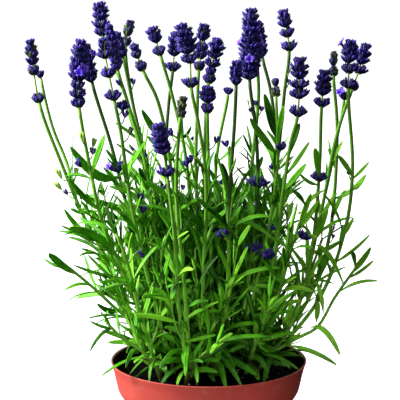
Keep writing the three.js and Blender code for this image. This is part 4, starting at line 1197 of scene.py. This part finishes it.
def add_whorl(build, shoot, distance, radius, loose, draw, turn, opened):
    """Calyxes round the stem in an outer and an inner ring, at a distance from the spine's start."""
    outer = int(np.clip(round(2 * math.pi * 0.6 * radius / CALYX_PITCH), *CALYXES_ROUND))
    top = shoot.spine.length - 0.5 - distance
    rings = ((outer, 0, 1.0, OUTER_RISE), (outer // 2 + 1, 1, INNER_REACH, INNER_RISE))
    for count, inner, reach, rise in rings:
        for k in range(count):
            angle = turn + 2 * math.pi * (k + 0.5 * inner + 0.5 * (draw() - 0.5)) / count
            shift = loose * 2 * (draw() - 0.5)
            below, level = (Frame(shoot.spine, distance - drop + shift) for drop in (CALYX_BASE_DROP, 0))
            spread = radius * reach * (0.84 + 0.24 * draw())
            height = min(top - shift, rise + CALYX_ENDS_APART * (draw() - 0.5))
            size = 0 if inner else open_size(opened, angle, math.pi / outer)
            add_whorl_calyx(build, shoot, below, level, angle, spread, height, size, 0.86, WHORL_SAG, draw)


def add_lone_whorl(build, shoot, distance, radius, draw, opened):
    """Two fans of calyxes, one to each side of the stem, over a pair of bracts."""
    below, level = Frame(shoot.spine, distance - CALYX_BASE_DROP), Frame(shoot.spine, distance)
    turn = 0.5 * (draw() - 0.5)
    bract = BRIGHT if shoot.name in BRIGHT_BRACTS else GREEN
    for side in (0, math.pi):
        out = below.outward(side + turn - 0.5)
        base = below.centre + out * 0.5 - below.along * 1.1
        tip = base + (out * 0.7 + below.along * 0.75) * CALYX_LENGTH * BRACT_SIZE
        add_form(build, CALYX_FORM, base, tip - base, below.along, BRACT_SIZE, 1.0, draw(), bract, 0.3)
        for row, (count, reach, rise, sag) in enumerate(FANS):
            for k in range(count):
                place = k - 0.5 * (count - 1) + 0.5 * (draw() - 0.5)
                angle = side + turn + place * FAN_SPREAD * (1 + 0.25 * row)
                spread = radius * reach * (0.9 + 0.18 * draw())
                height = rise + CALYX_ENDS_APART * (draw() - 0.5)
                size = 0 if row else open_size(opened, angle, FAN_SPREAD / 2)
                add_whorl_calyx(build, shoot, below, level, angle, spread, height, size, 0.8, sag, draw)


def add_crown(build, shoot, radius, draw):
    """Young calyxes that close the top of a head."""
    stem = Frame(shoot.spine, shoot.length - CROWN_DEPTH)
    green = GREEN_SHARE.get(shoot.name, 0) + (TIP_GREEN if shoot.name in GREEN_TIPS else 0)
    for k in range(CROWN):
        outward = stem.outward(CROWN_TURN * k)
        base = stem.centre + outward * 0.3
        spread = 0.34 * radius * math.sqrt(k / (CROWN - 1))
        tip = stem.centre + stem.along * (4.0 - 0.3 * spread + 0.7 * (draw() - 0.5)) + outward * spread
        kind = GREEN if draw() < green else CALYX
        add_calyx(build, base, tip, stem.along + outward * 0.01, 0.74, draw, kind)


def add_cluster(build, shoot, height, offset, count, size, sort, draw):
    """A few calyxes in a bunch on a thin stalk from the stem."""
    distance = shoot.distance_at(height)
    stem = Frame(shoot.spine, distance)
    foot = Frame(shoot.spine, distance - 5 - 0.6 * abs(offset))
    forward = max(0, 2.2 - abs(offset)) + 0.4
    base = stem.centre + stem.side * offset - stem.front * forward - stem.along * 3.1 * size
    middle = foot.centre + (base - foot.centre) * 0.55 + stem.side * (0.12 * offset) - stem.along * 0.6
    add_stalk(build, np.array([foot.centre, middle, base]))
    kind = CLUSTER_KINDS.get(sort, CALYX)
    heading = unit(stem.along * 2 + Z_AXIS * 2 + stem.side * offset * 0.3)
    side = unit(np.cross(Y_AXIS, heading))
    front = np.cross(heading, side)
    width = (0.75 if kind == BRIGHT else 1.1) * size
    for k in range(count):
        turn = CROWN_TURN * k + 0.6 * draw()
        lean = 0.12 + (0.9 if kind == CALYX else 0.15) * math.sqrt(k / count) * min(1, count / 5)
        out = side * math.cos(turn) + front * math.sin(turn)
        reach = CALYX_LENGTH * size * (0.85 + 0.25 * draw())
        tip = base + (heading * math.cos(lean) + out * math.sin(lean)) * reach
        opened = 0.6 if sort == OPEN and k == count - 1 else 0
        add_calyx(build, base, tip, heading + out * 0.01, width, draw, kind, opened, 0.2)


def add_stalk(build, points):
    """A thin stalk through three points."""
    along = unit(points[-1] - points[0])
    side = unit(np.cross(along, Y_AXIS))
    radii = np.full((len(points), 6), STALK_HALF)
    build.add(*tube(points, side[None], np.cross(along, side)[None], radii), **STALK_MARKS)


def make_head(build, shoot, draw):
    """The whorls of a shoot's flower head, from the tip down."""
    opened = [row[1:] for row in OPEN_FLOWERS if row[0] == shoot.name]
    whorls = whorls_of(shoot.head, FINE_SPACING)
    last = sum(not alone for _, _, alone in whorls) - 1
    for order, (distance, radius, alone) in enumerate(whorls + shoot.collar):
        near = [(a, s) for d, a, s in opened if abs(d - distance) < FINE_SPACING / 2]
        at = shoot.length - distance
        if alone:
            add_lone_whorl(build, shoot, at, radius, draw, near)
        else:
            loose = LOOSE * (0.35 if order == last else 1)
            narrow = 0.86 if order == 0 else 1
            add_whorl(build, shoot, at, narrow * radius, loose, draw, WHORL_TURN * order, near)
    rachis = tube_along(shoot.spine, shoot.stem_end - 0.5, shoot.length - 1.5, 0.75, 0.5, np.ones(6))
    build.add(*rachis, **STALK_MARKS)
    add_crown(build, shoot, shoot.head.radius, draw)


def make_flowers(shoots, material):
    for shoot in shoots:
        draw = seeded(HEAD_SEED + shoot.index)
        build = Build(FLOWER_MARKS)
        if shoot.head:
            make_head(build, shoot, draw)
        for name, height, offset, count, size, sort in CLUSTERS:
            if name == shoot.name:
                add_cluster(build, shoot, height, offset, count, size, sort, draw)
        if build.count:
            replaced = [f"flower_head_{shoot.name}"] if shoot.head and not shoot.green else []
            build.piece(f"flowers_{shoot.name}", material, "flower", *replaced)


# Pot and soil

POT_COLUMNS = 144
HOLE_COLUMNS = 32
DRILL_REACH = 3
SHARP_ANGLE = 40
PROFILE_STEP = 6
ON_AXIS = 0.01
BAND_TOP_RADIUS = RIM_RADIUS - LIP_OVERHANG
BAND_FOOT_RADIUS = BAND_TOP_RADIUS - BAND_TAPER
BODY_TOP_RADIUS = BAND_FOOT_RADIUS - BAND_STEP
BAND_FOOT = POT_HEIGHT - BAND_HEIGHT
BODY_TOP = BAND_FOOT - SHOULDER_HEIGHT


def rounded(points, radii, steps=4):
    """A polyline with its corners turned into short arcs."""
    result = [points[0]]
    for before, corner, after, radius in zip(points, points[1:], points[2:], radii):
        a, b, c = np.array(before, float), np.array(corner, float), np.array(after, float)
        cut = min(radius, 0.45 * np.hypot(*(a - b)), 0.45 * np.hypot(*(c - b)))
        p, q = b + unit(a - b) * cut, b + unit(c - b) * cut
        for k in range(steps + 1):
            t = k / steps
            result.append(tuple((1 - t) ** 2 * p + 2 * t * (1 - t) * b + t * t * q))
    return result + [points[-1]]


def pot_profile():
    """Radius and height round the wall: under the floor, up the outside, over the lip, down the inside."""
    flare = POT_HEIGHT - 2 * LIP_HEIGHT
    corners = (
        ((ON_AXIS, 1.2), 0), ((BASE_RADIUS - 5, 1.2), 0.6), ((BASE_RADIUS - 4, 0), 0.4),
        ((BASE_RADIUS, 0), FOOT_ROUND),
        ((BODY_TOP_RADIUS, BODY_TOP), 3), ((BAND_FOOT_RADIUS, BAND_FOOT), 4),
        ((BAND_TOP_RADIUS - 0.1, flare), 4), ((RIM_RADIUS - 0.3, POT_HEIGHT - 0.9), 0.7),
        ((RIM_RADIUS - 0.1, POT_HEIGHT), 0.6), ((RIM_RADIUS - 1.5, POT_HEIGHT), 0.6),
        ((BAND_TOP_RADIUS - WALL, flare + 0.3), 4),
        ((BAND_FOOT_RADIUS - WALL - INNER_STEP, BAND_FOOT + 2.5), 3),
        ((BODY_TOP_RADIUS - WALL, BODY_TOP + WALL), 2),
        ((BASE_RADIUS - WALL, FLOOR), 2), ((ON_AXIS, FLOOR), 0),
    )
    points = rounded([c[0] for c in corners], [c[1] for c in corners[1:-1]])
    result = [points[0]]
    for a, b in zip(points, points[1:]):
        steps = max(1, round(np.hypot(b[0] - a[0], b[1] - a[1]) / PROFILE_STEP))
        result += [tuple(np.array(a) + (np.array(b) - a) * (k + 1) / steps) for k in range(steps)]
    return result


def lathe(profile, columns):
    """Points and triangles of a profile turned round the Z axis, closed at both ends on the axis."""
    rings = [ring_at(radius, circle(columns), z) for radius, z in profile]
    return closed([0, 0, profile[0][1]], rings, [0, 0, profile[-1][1]])


def plain_mesh(name, points, faces):
    mesh = bpy.data.meshes.new(name)
    mesh.from_pydata((points * MM).tolist(), [], faces.tolist())
    mesh.update()
    return mesh


def cut_with(mesh, cutter):
    """The mesh with the cutter's shape taken out of it."""
    body, tool = (linked(one.name, one) for one in (mesh, cutter))
    modifier = body.modifiers.new("holes", "BOOLEAN")
    modifier.object = tool
    modifier.solver = "EXACT"
    modifier.operation = "DIFFERENCE"
    result = bpy.data.meshes.new_from_object(body.evaluated_get(bpy.context.evaluated_depsgraph_get()))
    for one in (body, tool):
        bpy.data.objects.remove(one)
    return result


def make_pot(material):
    body = plain_mesh("pot_wall", *lathe(pot_profile(), POT_COLUMNS))
    low, high = -DRILL_REACH, FLOOR + DRILL_REACH
    drill = [(ON_AXIS, low), (DRAIN_RADIUS, low), (DRAIN_RADIUS, high), (ON_AXIS, high)]
    points, faces = lathe(drill, HOLE_COLUMNS)
    drills, turned = [], []
    for k in range(DRAIN_HOLES):
        angle = 2 * math.pi * (k + 0.5) / DRAIN_HOLES
        drills.append(points + DRAIN_CIRCLE * np.array([math.cos(angle), math.sin(angle), 0]))
        turned.append(faces + k * len(points))
    mesh = cut_with(body, plain_mesh("drills", np.concatenate(drills), np.concatenate(turned)))
    mesh.name = "pot_body"
    smoothed(mesh, material).set_sharp_from_angle(angle=math.radians(SHARP_ANGLE))
    place_piece("pot_body", mesh, "pot", "pot")


SOIL_RADIUS = 65.2
SOIL_RINGS = 46
SOIL_COLUMNS = 180
SOIL_ROUGHNESS = 0.9
SOIL_WAVES = 22
LONGEST_WAVE = 14
WAVE_STEP = 0.45
SOIL_MARKS = ("fleck", "tone")
CRUMBS = 1500
CRUMB_RADIUS = (0.35, 1.5)
FLECK_SHARE = 0.035


def lumps(x, y, draws):
    """A rough height made of many small waves in seeded directions."""
    height = np.zeros_like(x)
    for k, (turn, phase) in enumerate(draws):
        length = LONGEST_WAVE / (1 + WAVE_STEP * k)
        waves = np.sin(2 * math.pi * (x * math.cos(turn) + y * math.sin(turn)) / length + phase)
        height += waves / (1 + WAVE_STEP * k) ** 0.8
    return height / math.sqrt(len(draws))


def crumb_form():
    """A small lump of twelve corners."""
    high, low = ring_at(0.894, circle(5), 0.447), ring_at(0.894, circle(5) + math.pi / 5, -0.447)
    k = np.arange(5)
    n = (k + 1) % 5
    top, bottom = np.full(5, 10), np.full(5, 11)
    faces = np.concatenate([
        np.stack([k, n, top], 1), np.stack([n + 5, k + 5, bottom], 1),
        np.stack([k, k + 5, n], 1), np.stack([n, k + 5, n + 5], 1),
    ])
    return np.concatenate([high, low, [[0, 0, 1], [0, 0, -1]]]), faces


def make_soil(material):
    draw = seeded(SOIL_SEED)
    waves = [(2 * math.pi * draw(), 2 * math.pi * draw()) for _ in range(SOIL_WAVES)]
    build = Build(SOIL_MARKS)

    def ring(radius, z, roughness=0):
        points = ring_at(radius, circle(SOIL_COLUMNS), z)
        return points + Z_AXIS * (roughness * lumps(points[:, 0], points[:, 1], waves))[:, None]

    bottom = FLOOR + SEAT_GAP
    foot = BASE_RADIUS - WALL - SEAT_GAP - 1
    rings = [ring(foot * 0.5, bottom), ring(foot, bottom), ring(foot + 1, bottom + 2)]
    rings += [ring(BODY_TOP_RADIUS - WALL - 1.4, BODY_TOP - 2), ring(SOIL_RADIUS - 3.2, BAND_FOOT + 3)]
    rings += [ring(SOIL_RADIUS - 0.8, SOIL_TOP - 2)]
    for k in range(SOIL_RINGS):
        radius = SOIL_RADIUS * (1 - k / SOIL_RINGS)
        edge = smooth(0, 4, SOIL_RADIUS - radius)
        height = SOIL_TOP + 0.8 * SOIL_BUMP * edge
        rings.append(ring(max(radius, 0.4), height, SOIL_ROUGHNESS * (0.4 + 0.6 * edge)))
    build.add(*closed([0, 0, bottom], rings, [0, 0, SOIL_TOP + SOIL_BUMP]), fleck=0, tone=0.5)
    form, faces = crumb_form()
    for _ in range(CRUMBS):
        radius, angle = (SOIL_RADIUS - 1.5) * math.sqrt(draw()), 2 * math.pi * draw()
        x, y = radius * math.cos(angle), radius * math.sin(angle)
        low, high = CRUMB_RADIUS
        size = low + (high - low) * draw() ** 3
        fleck = draw() < FLECK_SHARE
        turn = Matrix.Rotation(6.28 * draw(), 3, "X") @ Matrix.Rotation(6.28 * draw(), 3, "Z")
        shape = form * (0.75 + 0.5 * np.array([draw() for _ in range(12)]))[:, None] * (1, 0.85, 0.7)
        z = SOIL_TOP + SOIL_BUMP * 0.8 + SOIL_ROUGHNESS * float(lumps(np.array(x), np.array(y), waves))
        points = shape @ np.array(turn).T * size + (x, y, z)
        build.add(points, faces, fleck=float(fleck), tone=draw())
    build.piece("peat", material, "soil", "soil")


# Materials

class Look:
    """A material built from nodes, with short names for the nodes it uses."""

    def __init__(self, name):
        self.material = bpy.data.materials.new(name)
        self.material.use_nodes = True
        self.tree = self.material.node_tree
        self.shader = self.tree.nodes["Principled BSDF"]
        self.place = self.node("ShaderNodeTexCoord").outputs["Object"]

    def node(self, kind, **settings):
        node = self.tree.nodes.new(kind)
        for key, value in settings.items():
            setattr(node, key, value)
        return node

    def times(self, first, second):
        return self.calc("MULTIPLY", first, second)

    def plus(self, first, second):
        return self.calc("ADD", first, second)

    def put(self, socket, value):
        if isinstance(value, bpy.types.NodeSocket):
            self.tree.links.new(value, socket)
        elif isinstance(value, tuple) and len(value) == 3 and socket.type == "RGBA":
            socket.default_value = (*value, 1)
        else:
            socket.default_value = value

    def set(self, **values):
        for key, value in values.items():
            self.put(self.shader.inputs[key.replace("_", " ")], value)

    def mark(self, name):
        return self.node("ShaderNodeAttribute", attribute_name=name).outputs["Fac"]

    def stretched(self, scale):
        node = self.node("ShaderNodeMapping")
        self.put(node.inputs["Vector"], self.place)
        self.put(node.inputs["Scale"], scale)
        return node.outputs["Vector"]

    def noise(self, scale, detail=3, roughness=0.55, place=None):
        node = self.node("ShaderNodeTexNoise")
        values = {"Vector": place or self.place, "Scale": scale, "Detail": detail, "Roughness": roughness}
        for key, value in values.items():
            self.put(node.inputs[key], value)
        return node.outputs["Fac"]

    def cells(self, scale):
        node = self.node("ShaderNodeTexVoronoi")
        self.put(node.inputs["Vector"], self.place)
        self.put(node.inputs["Scale"], scale)
        return node.outputs["Distance"]

    def calc(self, operation, *values):
        node = self.node("ShaderNodeMath", operation=operation)
        for socket, value in zip(node.inputs, values):
            self.put(socket, value)
        return node.outputs["Value"]

    def spread(self, value, low, high, out_low=0.0, out_high=1.0):
        node = self.node("ShaderNodeMapRange", interpolation_type="SMOOTHSTEP")
        for socket, given in zip(node.inputs, (value, low, high, out_low, out_high)):
            self.put(socket, given)
        return node.outputs["Result"]

    def mix(self, share, first, second):
        node = self.node("ShaderNodeMix", data_type="RGBA")
        colours = [socket for socket in node.inputs if socket.type == "RGBA"]
        self.put(node.inputs["Factor"], share)
        self.put(colours[0], first)
        self.put(colours[1], second)
        return next(socket for socket in node.outputs if socket.type == "RGBA")

    def bump(self, height, strength, distance):
        node = self.node("ShaderNodeBump")
        for key, value in (("Height", height), ("Strength", strength), ("Distance", distance)):
            self.put(node.inputs[key], value)
        return node.outputs["Normal"]


LEAF_DARK = (0.006, 0.050, 0.001)
LEAF_MIDDLE = (0.080, 0.390, 0.006)
LEAF_BRIGHT = (0.265, 0.700, 0.034)
LEAF_RIB = (0.190, 0.520, 0.034)
LEAF_BACK = (0.140, 0.440, 0.040)
STEM_GREEN = (0.180, 0.460, 0.042)
STEM_DARK = (0.050, 0.110, 0.030)
STEM_WOODY = (0.060, 0.095, 0.018)


def leaf_look():
    look = Look("leaf")
    tone = look.mark("tone")
    patches = look.spread(look.noise(60, 2), 0.3, 0.7)
    level = look.plus(look.times(tone, 0.75), look.times(patches, 0.25))
    green = look.mix(look.spread(level, 0.08, 0.55), LEAF_DARK, LEAF_MIDDLE)
    green = look.mix(look.spread(level, 0.4, 0.92), green, LEAF_BRIGHT)
    across = look.calc("ABSOLUTE", look.mark("across"))
    rib = look.spread(across, 0.0, 0.22, 0.7, 0.0)
    lit = look.spread(level, 0.1, 0.6, 0.2, 1.0)
    green = look.mix(look.times(rib, lit), green, LEAF_RIB)
    green = look.mix(look.times(look.mark("under"), look.spread(level, 0.2, 0.8)), green, LEAF_BACK)
    young = look.spread(look.mark("along"), 0.0, 0.25, 0.45, 0.0)
    green = look.mix(look.times(young, lit), green, LEAF_RIB)
    stem = look.mark("stem")
    green = look.mix(stem, green, look.mix(look.spread(tone, 0.0, 0.8), STEM_DARK, STEM_GREEN))
    fine = look.noise(900, 3, 0.6)
    green = look.mix(look.times(look.spread(fine, 0.35, 0.75, 0.0, 0.2), lit), green, LEAF_RIB)
    # Painted shade: leaves darken towards the soil; stems there take their woody colour
    low = look.mark("low")
    green = look.mix(look.times(low, 0.7), green, LEAF_DARK)
    green = look.mix(look.times(low, stem), green, STEM_WOODY)
    veins = look.plus(look.noise(700, 4), look.times(rib, -0.6))
    look.set(
        Base_Color=green, Roughness=look.spread(fine, 0.3, 0.7, 0.45, 0.62), Specular_IOR_Level=0.16,
        Subsurface_Weight=0.2, Subsurface_Radius=(0.0005, 0.0012, 0.0002), Subsurface_Scale=1.0,
        Normal=look.bump(veins, 0.35, 0.0004),
    )
    return look.material


CALYX_VIOLET = (0.027, 0.019, 0.180)
CALYX_DARK = (0.019, 0.013, 0.180)
CALYX_BLUSH = (0.050, 0.043, 0.150)
CALYX_GREEN = (0.050, 0.082, 0.022)
CALYX_GREY = (0.120, 0.175, 0.060)
CALYX_TIP = (0.055, 0.050, 0.150)
COROLLA_VIOLET = (0.170, 0.070, 0.850)
COROLLA_THROAT = (0.060, 0.018, 0.450)
COROLLA_EDGE = (0.330, 0.200, 0.980)
BUD_GREEN = (0.360, 0.600, 0.110)


def flower_look():
    look = Look("flower")
    kind, along, tone = look.mark("kind"), look.mark("along"), look.mark("tone")
    shade = look.plus(look.times(tone, 0.6), look.times(look.noise(260, 2), 0.5))
    violet = look.mix(look.spread(shade, 0.2, 0.85), CALYX_DARK, CALYX_VIOLET)
    violet = look.mix(look.spread(along, 0.7, 1.0, 0.0, 0.55), violet, CALYX_BLUSH)
    base = look.spread(along, 0.0, 0.38, 0.75, 0.0)
    violet = look.mix(look.times(base, look.spread(tone, 0.2, 0.9)), violet, CALYX_GREEN)
    down = look.noise(1500, 2, 0.7)
    violet = look.mix(look.spread(down, 0.5, 0.8, 0.0, 0.35), violet, CALYX_BLUSH)
    green = look.mix(look.spread(shade, 0.1, 0.9), CALYX_GREEN, CALYX_GREY)
    green = look.mix(look.spread(along, 0.6, 1.0, 0.0, 0.4), green, CALYX_TIP)
    petal = look.mix(look.spread(along, 0.1, 0.5), COROLLA_THROAT, COROLLA_VIOLET)
    petal = look.mix(look.spread(along, 0.75, 1.0, 0.0, 0.7), petal, COROLLA_EDGE)
    colour = look.mix(look.spread(kind, 0.4, 0.6), violet, petal)
    colour = look.mix(look.spread(kind, 1.4, 1.6), colour, green)
    colour = look.mix(look.spread(kind, 2.4, 2.6), colour, BUD_GREEN)
    look.set(
        Base_Color=colour, Roughness=0.65, Specular_IOR_Level=0.22, Sheen_Weight=0.05, Sheen_Roughness=0.5,
        Sheen_Tint=(0.6, 0.55, 1.0), Normal=look.bump(look.noise(1100, 3, 0.65), 0.5, 0.0004),
    )
    return look.material


POT_RED = (0.490, 0.069, 0.051)
POT_DEEP = (0.395, 0.049, 0.037)
POT_DUST = (0.620, 0.260, 0.200)
# Painted highlight: pale grey for the top of the rim
POT_RIM_HIGHLIGHT = (0.560, 0.440, 0.420)
# Painted shade: near black for the inside of the wall below the rim
POT_INNER_SHADE = (0.0030, 0.0025, 0.0020)


def pot_look():
    look = Look("terracotta_plastic")
    cloud = look.noise(14, 4, 0.6)
    grain = look.noise(1400, 3, 0.6)
    drawn = look.noise(1, 3, 0.6, look.stretched((70.0, 70.0, 900.0)))
    colour = look.mix(look.spread(cloud, 0.3, 0.7), POT_DEEP, POT_RED)
    colour = look.mix(look.spread(grain, 0.55, 0.8, 0.0, 0.25), colour, POT_DUST)
    dust = look.times(look.spread(look.noise(90, 5, 0.7), 0.55, 0.8), 0.3)
    colour = look.mix(dust, colour, POT_DUST)
    facing, place = look.node("ShaderNodeSeparateXYZ"), look.node("ShaderNodeSeparateXYZ")
    look.put(facing.inputs["Vector"], look.node("ShaderNodeNewGeometry").outputs["Normal"])
    look.put(place.inputs["Vector"], look.place)
    inward = look.plus(*(look.times(facing.outputs[axis], place.outputs[axis]) for axis in ("X", "Y")))
    high, back = place.outputs["Z"], place.outputs["Y"]
    # Painted highlight: a pale grey line along the top of the rim on its back half
    rim_highlight = look.times(look.spread(high, 0.1085, 0.1095), look.spread(back, -0.03, 0.02))
    colour = look.mix(look.times(rim_highlight, look.spread(cloud, 0.3, 0.6, 0.3, 0.9)), colour, POT_RIM_HIGHLIGHT)
    # Painted shade: the inside of the wall near black down from the rim, with its reflection taken away
    inner_shade_top = look.plus(high, look.times(look.noise(60, 4, 0.6), 0.002))
    inner_shade = look.times(look.spread(inward, -0.008, -0.02), look.spread(inner_shade_top, 0.1105, 0.1095))
    colour = look.mix(inner_shade, colour, POT_INNER_SHADE)
    height = look.plus(look.times(grain, 0.5), look.times(drawn, 0.5))
    look.set(
        Base_Color=colour, Roughness=look.spread(cloud, 0.3, 0.7, 0.38, 0.5),
        Specular_IOR_Level=look.calc("SUBTRACT", 0.45, look.times(inner_shade, 0.42)),
        Normal=look.bump(height, 0.25, 0.0004),
    )
    return look.material


PEAT_DARK = (0.0018, 0.0015, 0.0012)
PEAT_BROWN = (0.0055, 0.0038, 0.0026)
PEAT_FLECK = (0.36, 0.33, 0.26)


def soil_look():
    look = Look("peat")
    grain = look.noise(500, 5, 0.7)
    colour = look.mix(look.spread(grain, 0.4, 0.75), PEAT_DARK, PEAT_BROWN)
    colour = look.mix(look.spread(look.mark("tone"), 0.7, 1.0, 0.0, 0.6), colour, PEAT_BROWN)
    colour = look.mix(look.mark("fleck"), colour, PEAT_FLECK)
    height = look.plus(grain, look.times(look.cells(420), -0.7))
    rough = look.bump(height, 0.8, 0.0015)
    look.set(Base_Color=colour, Roughness=0.93, Specular_IOR_Level=0.03, Normal=rough)
    return look.material


# Floor, light and camera

FLOOR_WHITE = (0.80, 0.80, 0.80)
STUDIO_WALL = ((0.01, 0.0), (2.0, 0.0), (5.5, 0.0), (6.6, 0.25), (7.4, 0.8), (7.9, 1.6), (8.0, 6.0))
WALL_COLUMNS = 96
GLOW_START, GLOW_END = 0.15, 0.28
LIGHT_TARGET = (0, 0, 0.2)
LIGHTS = (
    ("key", (-1.5, -0.04, 0.95), 0.7, 94),
    ("fill", (-0.2, -1.5, 1.3), 1.0, 8),
    ("back", (1.1, 1.3, 1.1), 0.9, 12),
)
POT_LIGHT = ((-0.06, -1.1, 0.16), (0.0, 0, 0.045), 90)
POT_LIGHT_ANGLE = 0.18
POT_LIGHT_SIZE = 0.12
WORLD_LIGHT = 0.02
CAMERA_PLACE = (-0.006086, -1.395216, 0.504806)
CAMERA_PITCH = 11.3107
CAMERA_LENS = 182.26


def make_floor():
    """A white floor that curves up into a white wall, brightly lit away from the pot."""
    columns = WALL_COLUMNS
    points = np.concatenate([ring_at(radius, circle(columns), z) for radius, z in STUDIO_WALL])
    faces = []
    for a in range(0, (len(STUDIO_WALL) - 1) * columns, columns):
        for k in range(columns):
            n = (k + 1) % columns
            faces.append((a + k, a + n, a + columns + n, a + columns + k))
    mesh = bpy.data.meshes.new("floor")
    mesh.from_pydata(points.tolist(), [], [*faces, tuple(range(columns - 1, -1, -1))])
    look = Look("floor")
    axes = look.node("ShaderNodeSeparateXYZ")
    look.put(axes.inputs["Vector"], look.place)
    squares = (look.calc("POWER", axes.outputs[axis], 2.0) for axis in ("X", "Y"))
    flat = look.calc("SQRT", look.plus(*squares))
    look.set(
        Base_Color=FLOOR_WHITE, Roughness=0.9, Specular_IOR_Level=0.1,
        Emission_Color=(1.0, 1.0, 1.0), Emission_Strength=look.spread(flat, GLOW_START, GLOW_END, 0.0, 1.0),
    )
    floor = linked("floor", smoothed(mesh, look.material))
    floor.visible_diffuse = False
    floor.visible_glossy = False
    floor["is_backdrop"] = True


def aimed(name, lamp, place, target):
    light = linked(name, lamp)
    light.location = place
    light.rotation_euler = (Vector(target) - Vector(place)).to_track_quat("-Z", "Y").to_euler()
    light.visible_camera = False


def make_lights():
    for name, place, size, power in LIGHTS:
        lamp = bpy.data.lights.new(name, "AREA")
        lamp.shape, lamp.size, lamp.energy = "SQUARE", size, power
        aimed(name, lamp, place, LIGHT_TARGET)
    place, target, power = POT_LIGHT
    spot = bpy.data.lights.new("pot_light", "SPOT")
    spot.energy = power
    spot.spot_size = POT_LIGHT_ANGLE
    spot.spot_blend = 1
    spot.shadow_soft_size = POT_LIGHT_SIZE
    aimed("pot_light", spot, place, target)
    world = bpy.data.worlds.new("studio")
    world.use_nodes = True
    background = world.node_tree.nodes["Background"]
    background.inputs["Color"].default_value = (1, 1, 1, 1)
    background.inputs["Strength"].default_value = WORLD_LIGHT
    bpy.context.scene.world = world
    bpy.context.scene.view_settings.view_transform = "Standard"


def make_camera():
    lens = bpy.data.cameras.new("camera")
    lens.lens = CAMERA_LENS
    lens.sensor_width = 36
    lens.clip_end = 20
    camera = linked("camera", lens)
    camera.location = CAMERA_PLACE
    camera.rotation_euler = (math.radians(90 - CAMERA_PITCH), 0, 0)
    bpy.context.scene.camera = camera


# The whole scene

shoots = make_shoots()
space = Space()
fill_space(shoots, space)
grow_main_leaves(shoots, space)
grow_extra_leaves(shoots, space)
make_camera()
make_floor()
make_lights()
make_leafy_stems(shoots, leaf_look())
make_flowers(shoots, flower_look())
make_pot(pot_look())
make_soil(soil_look())

sizes = {"cad": cad_bounds, "visual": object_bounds()}
repr({key: [list(map(float, corner)) for corner in value] for key, value in sizes.items()})
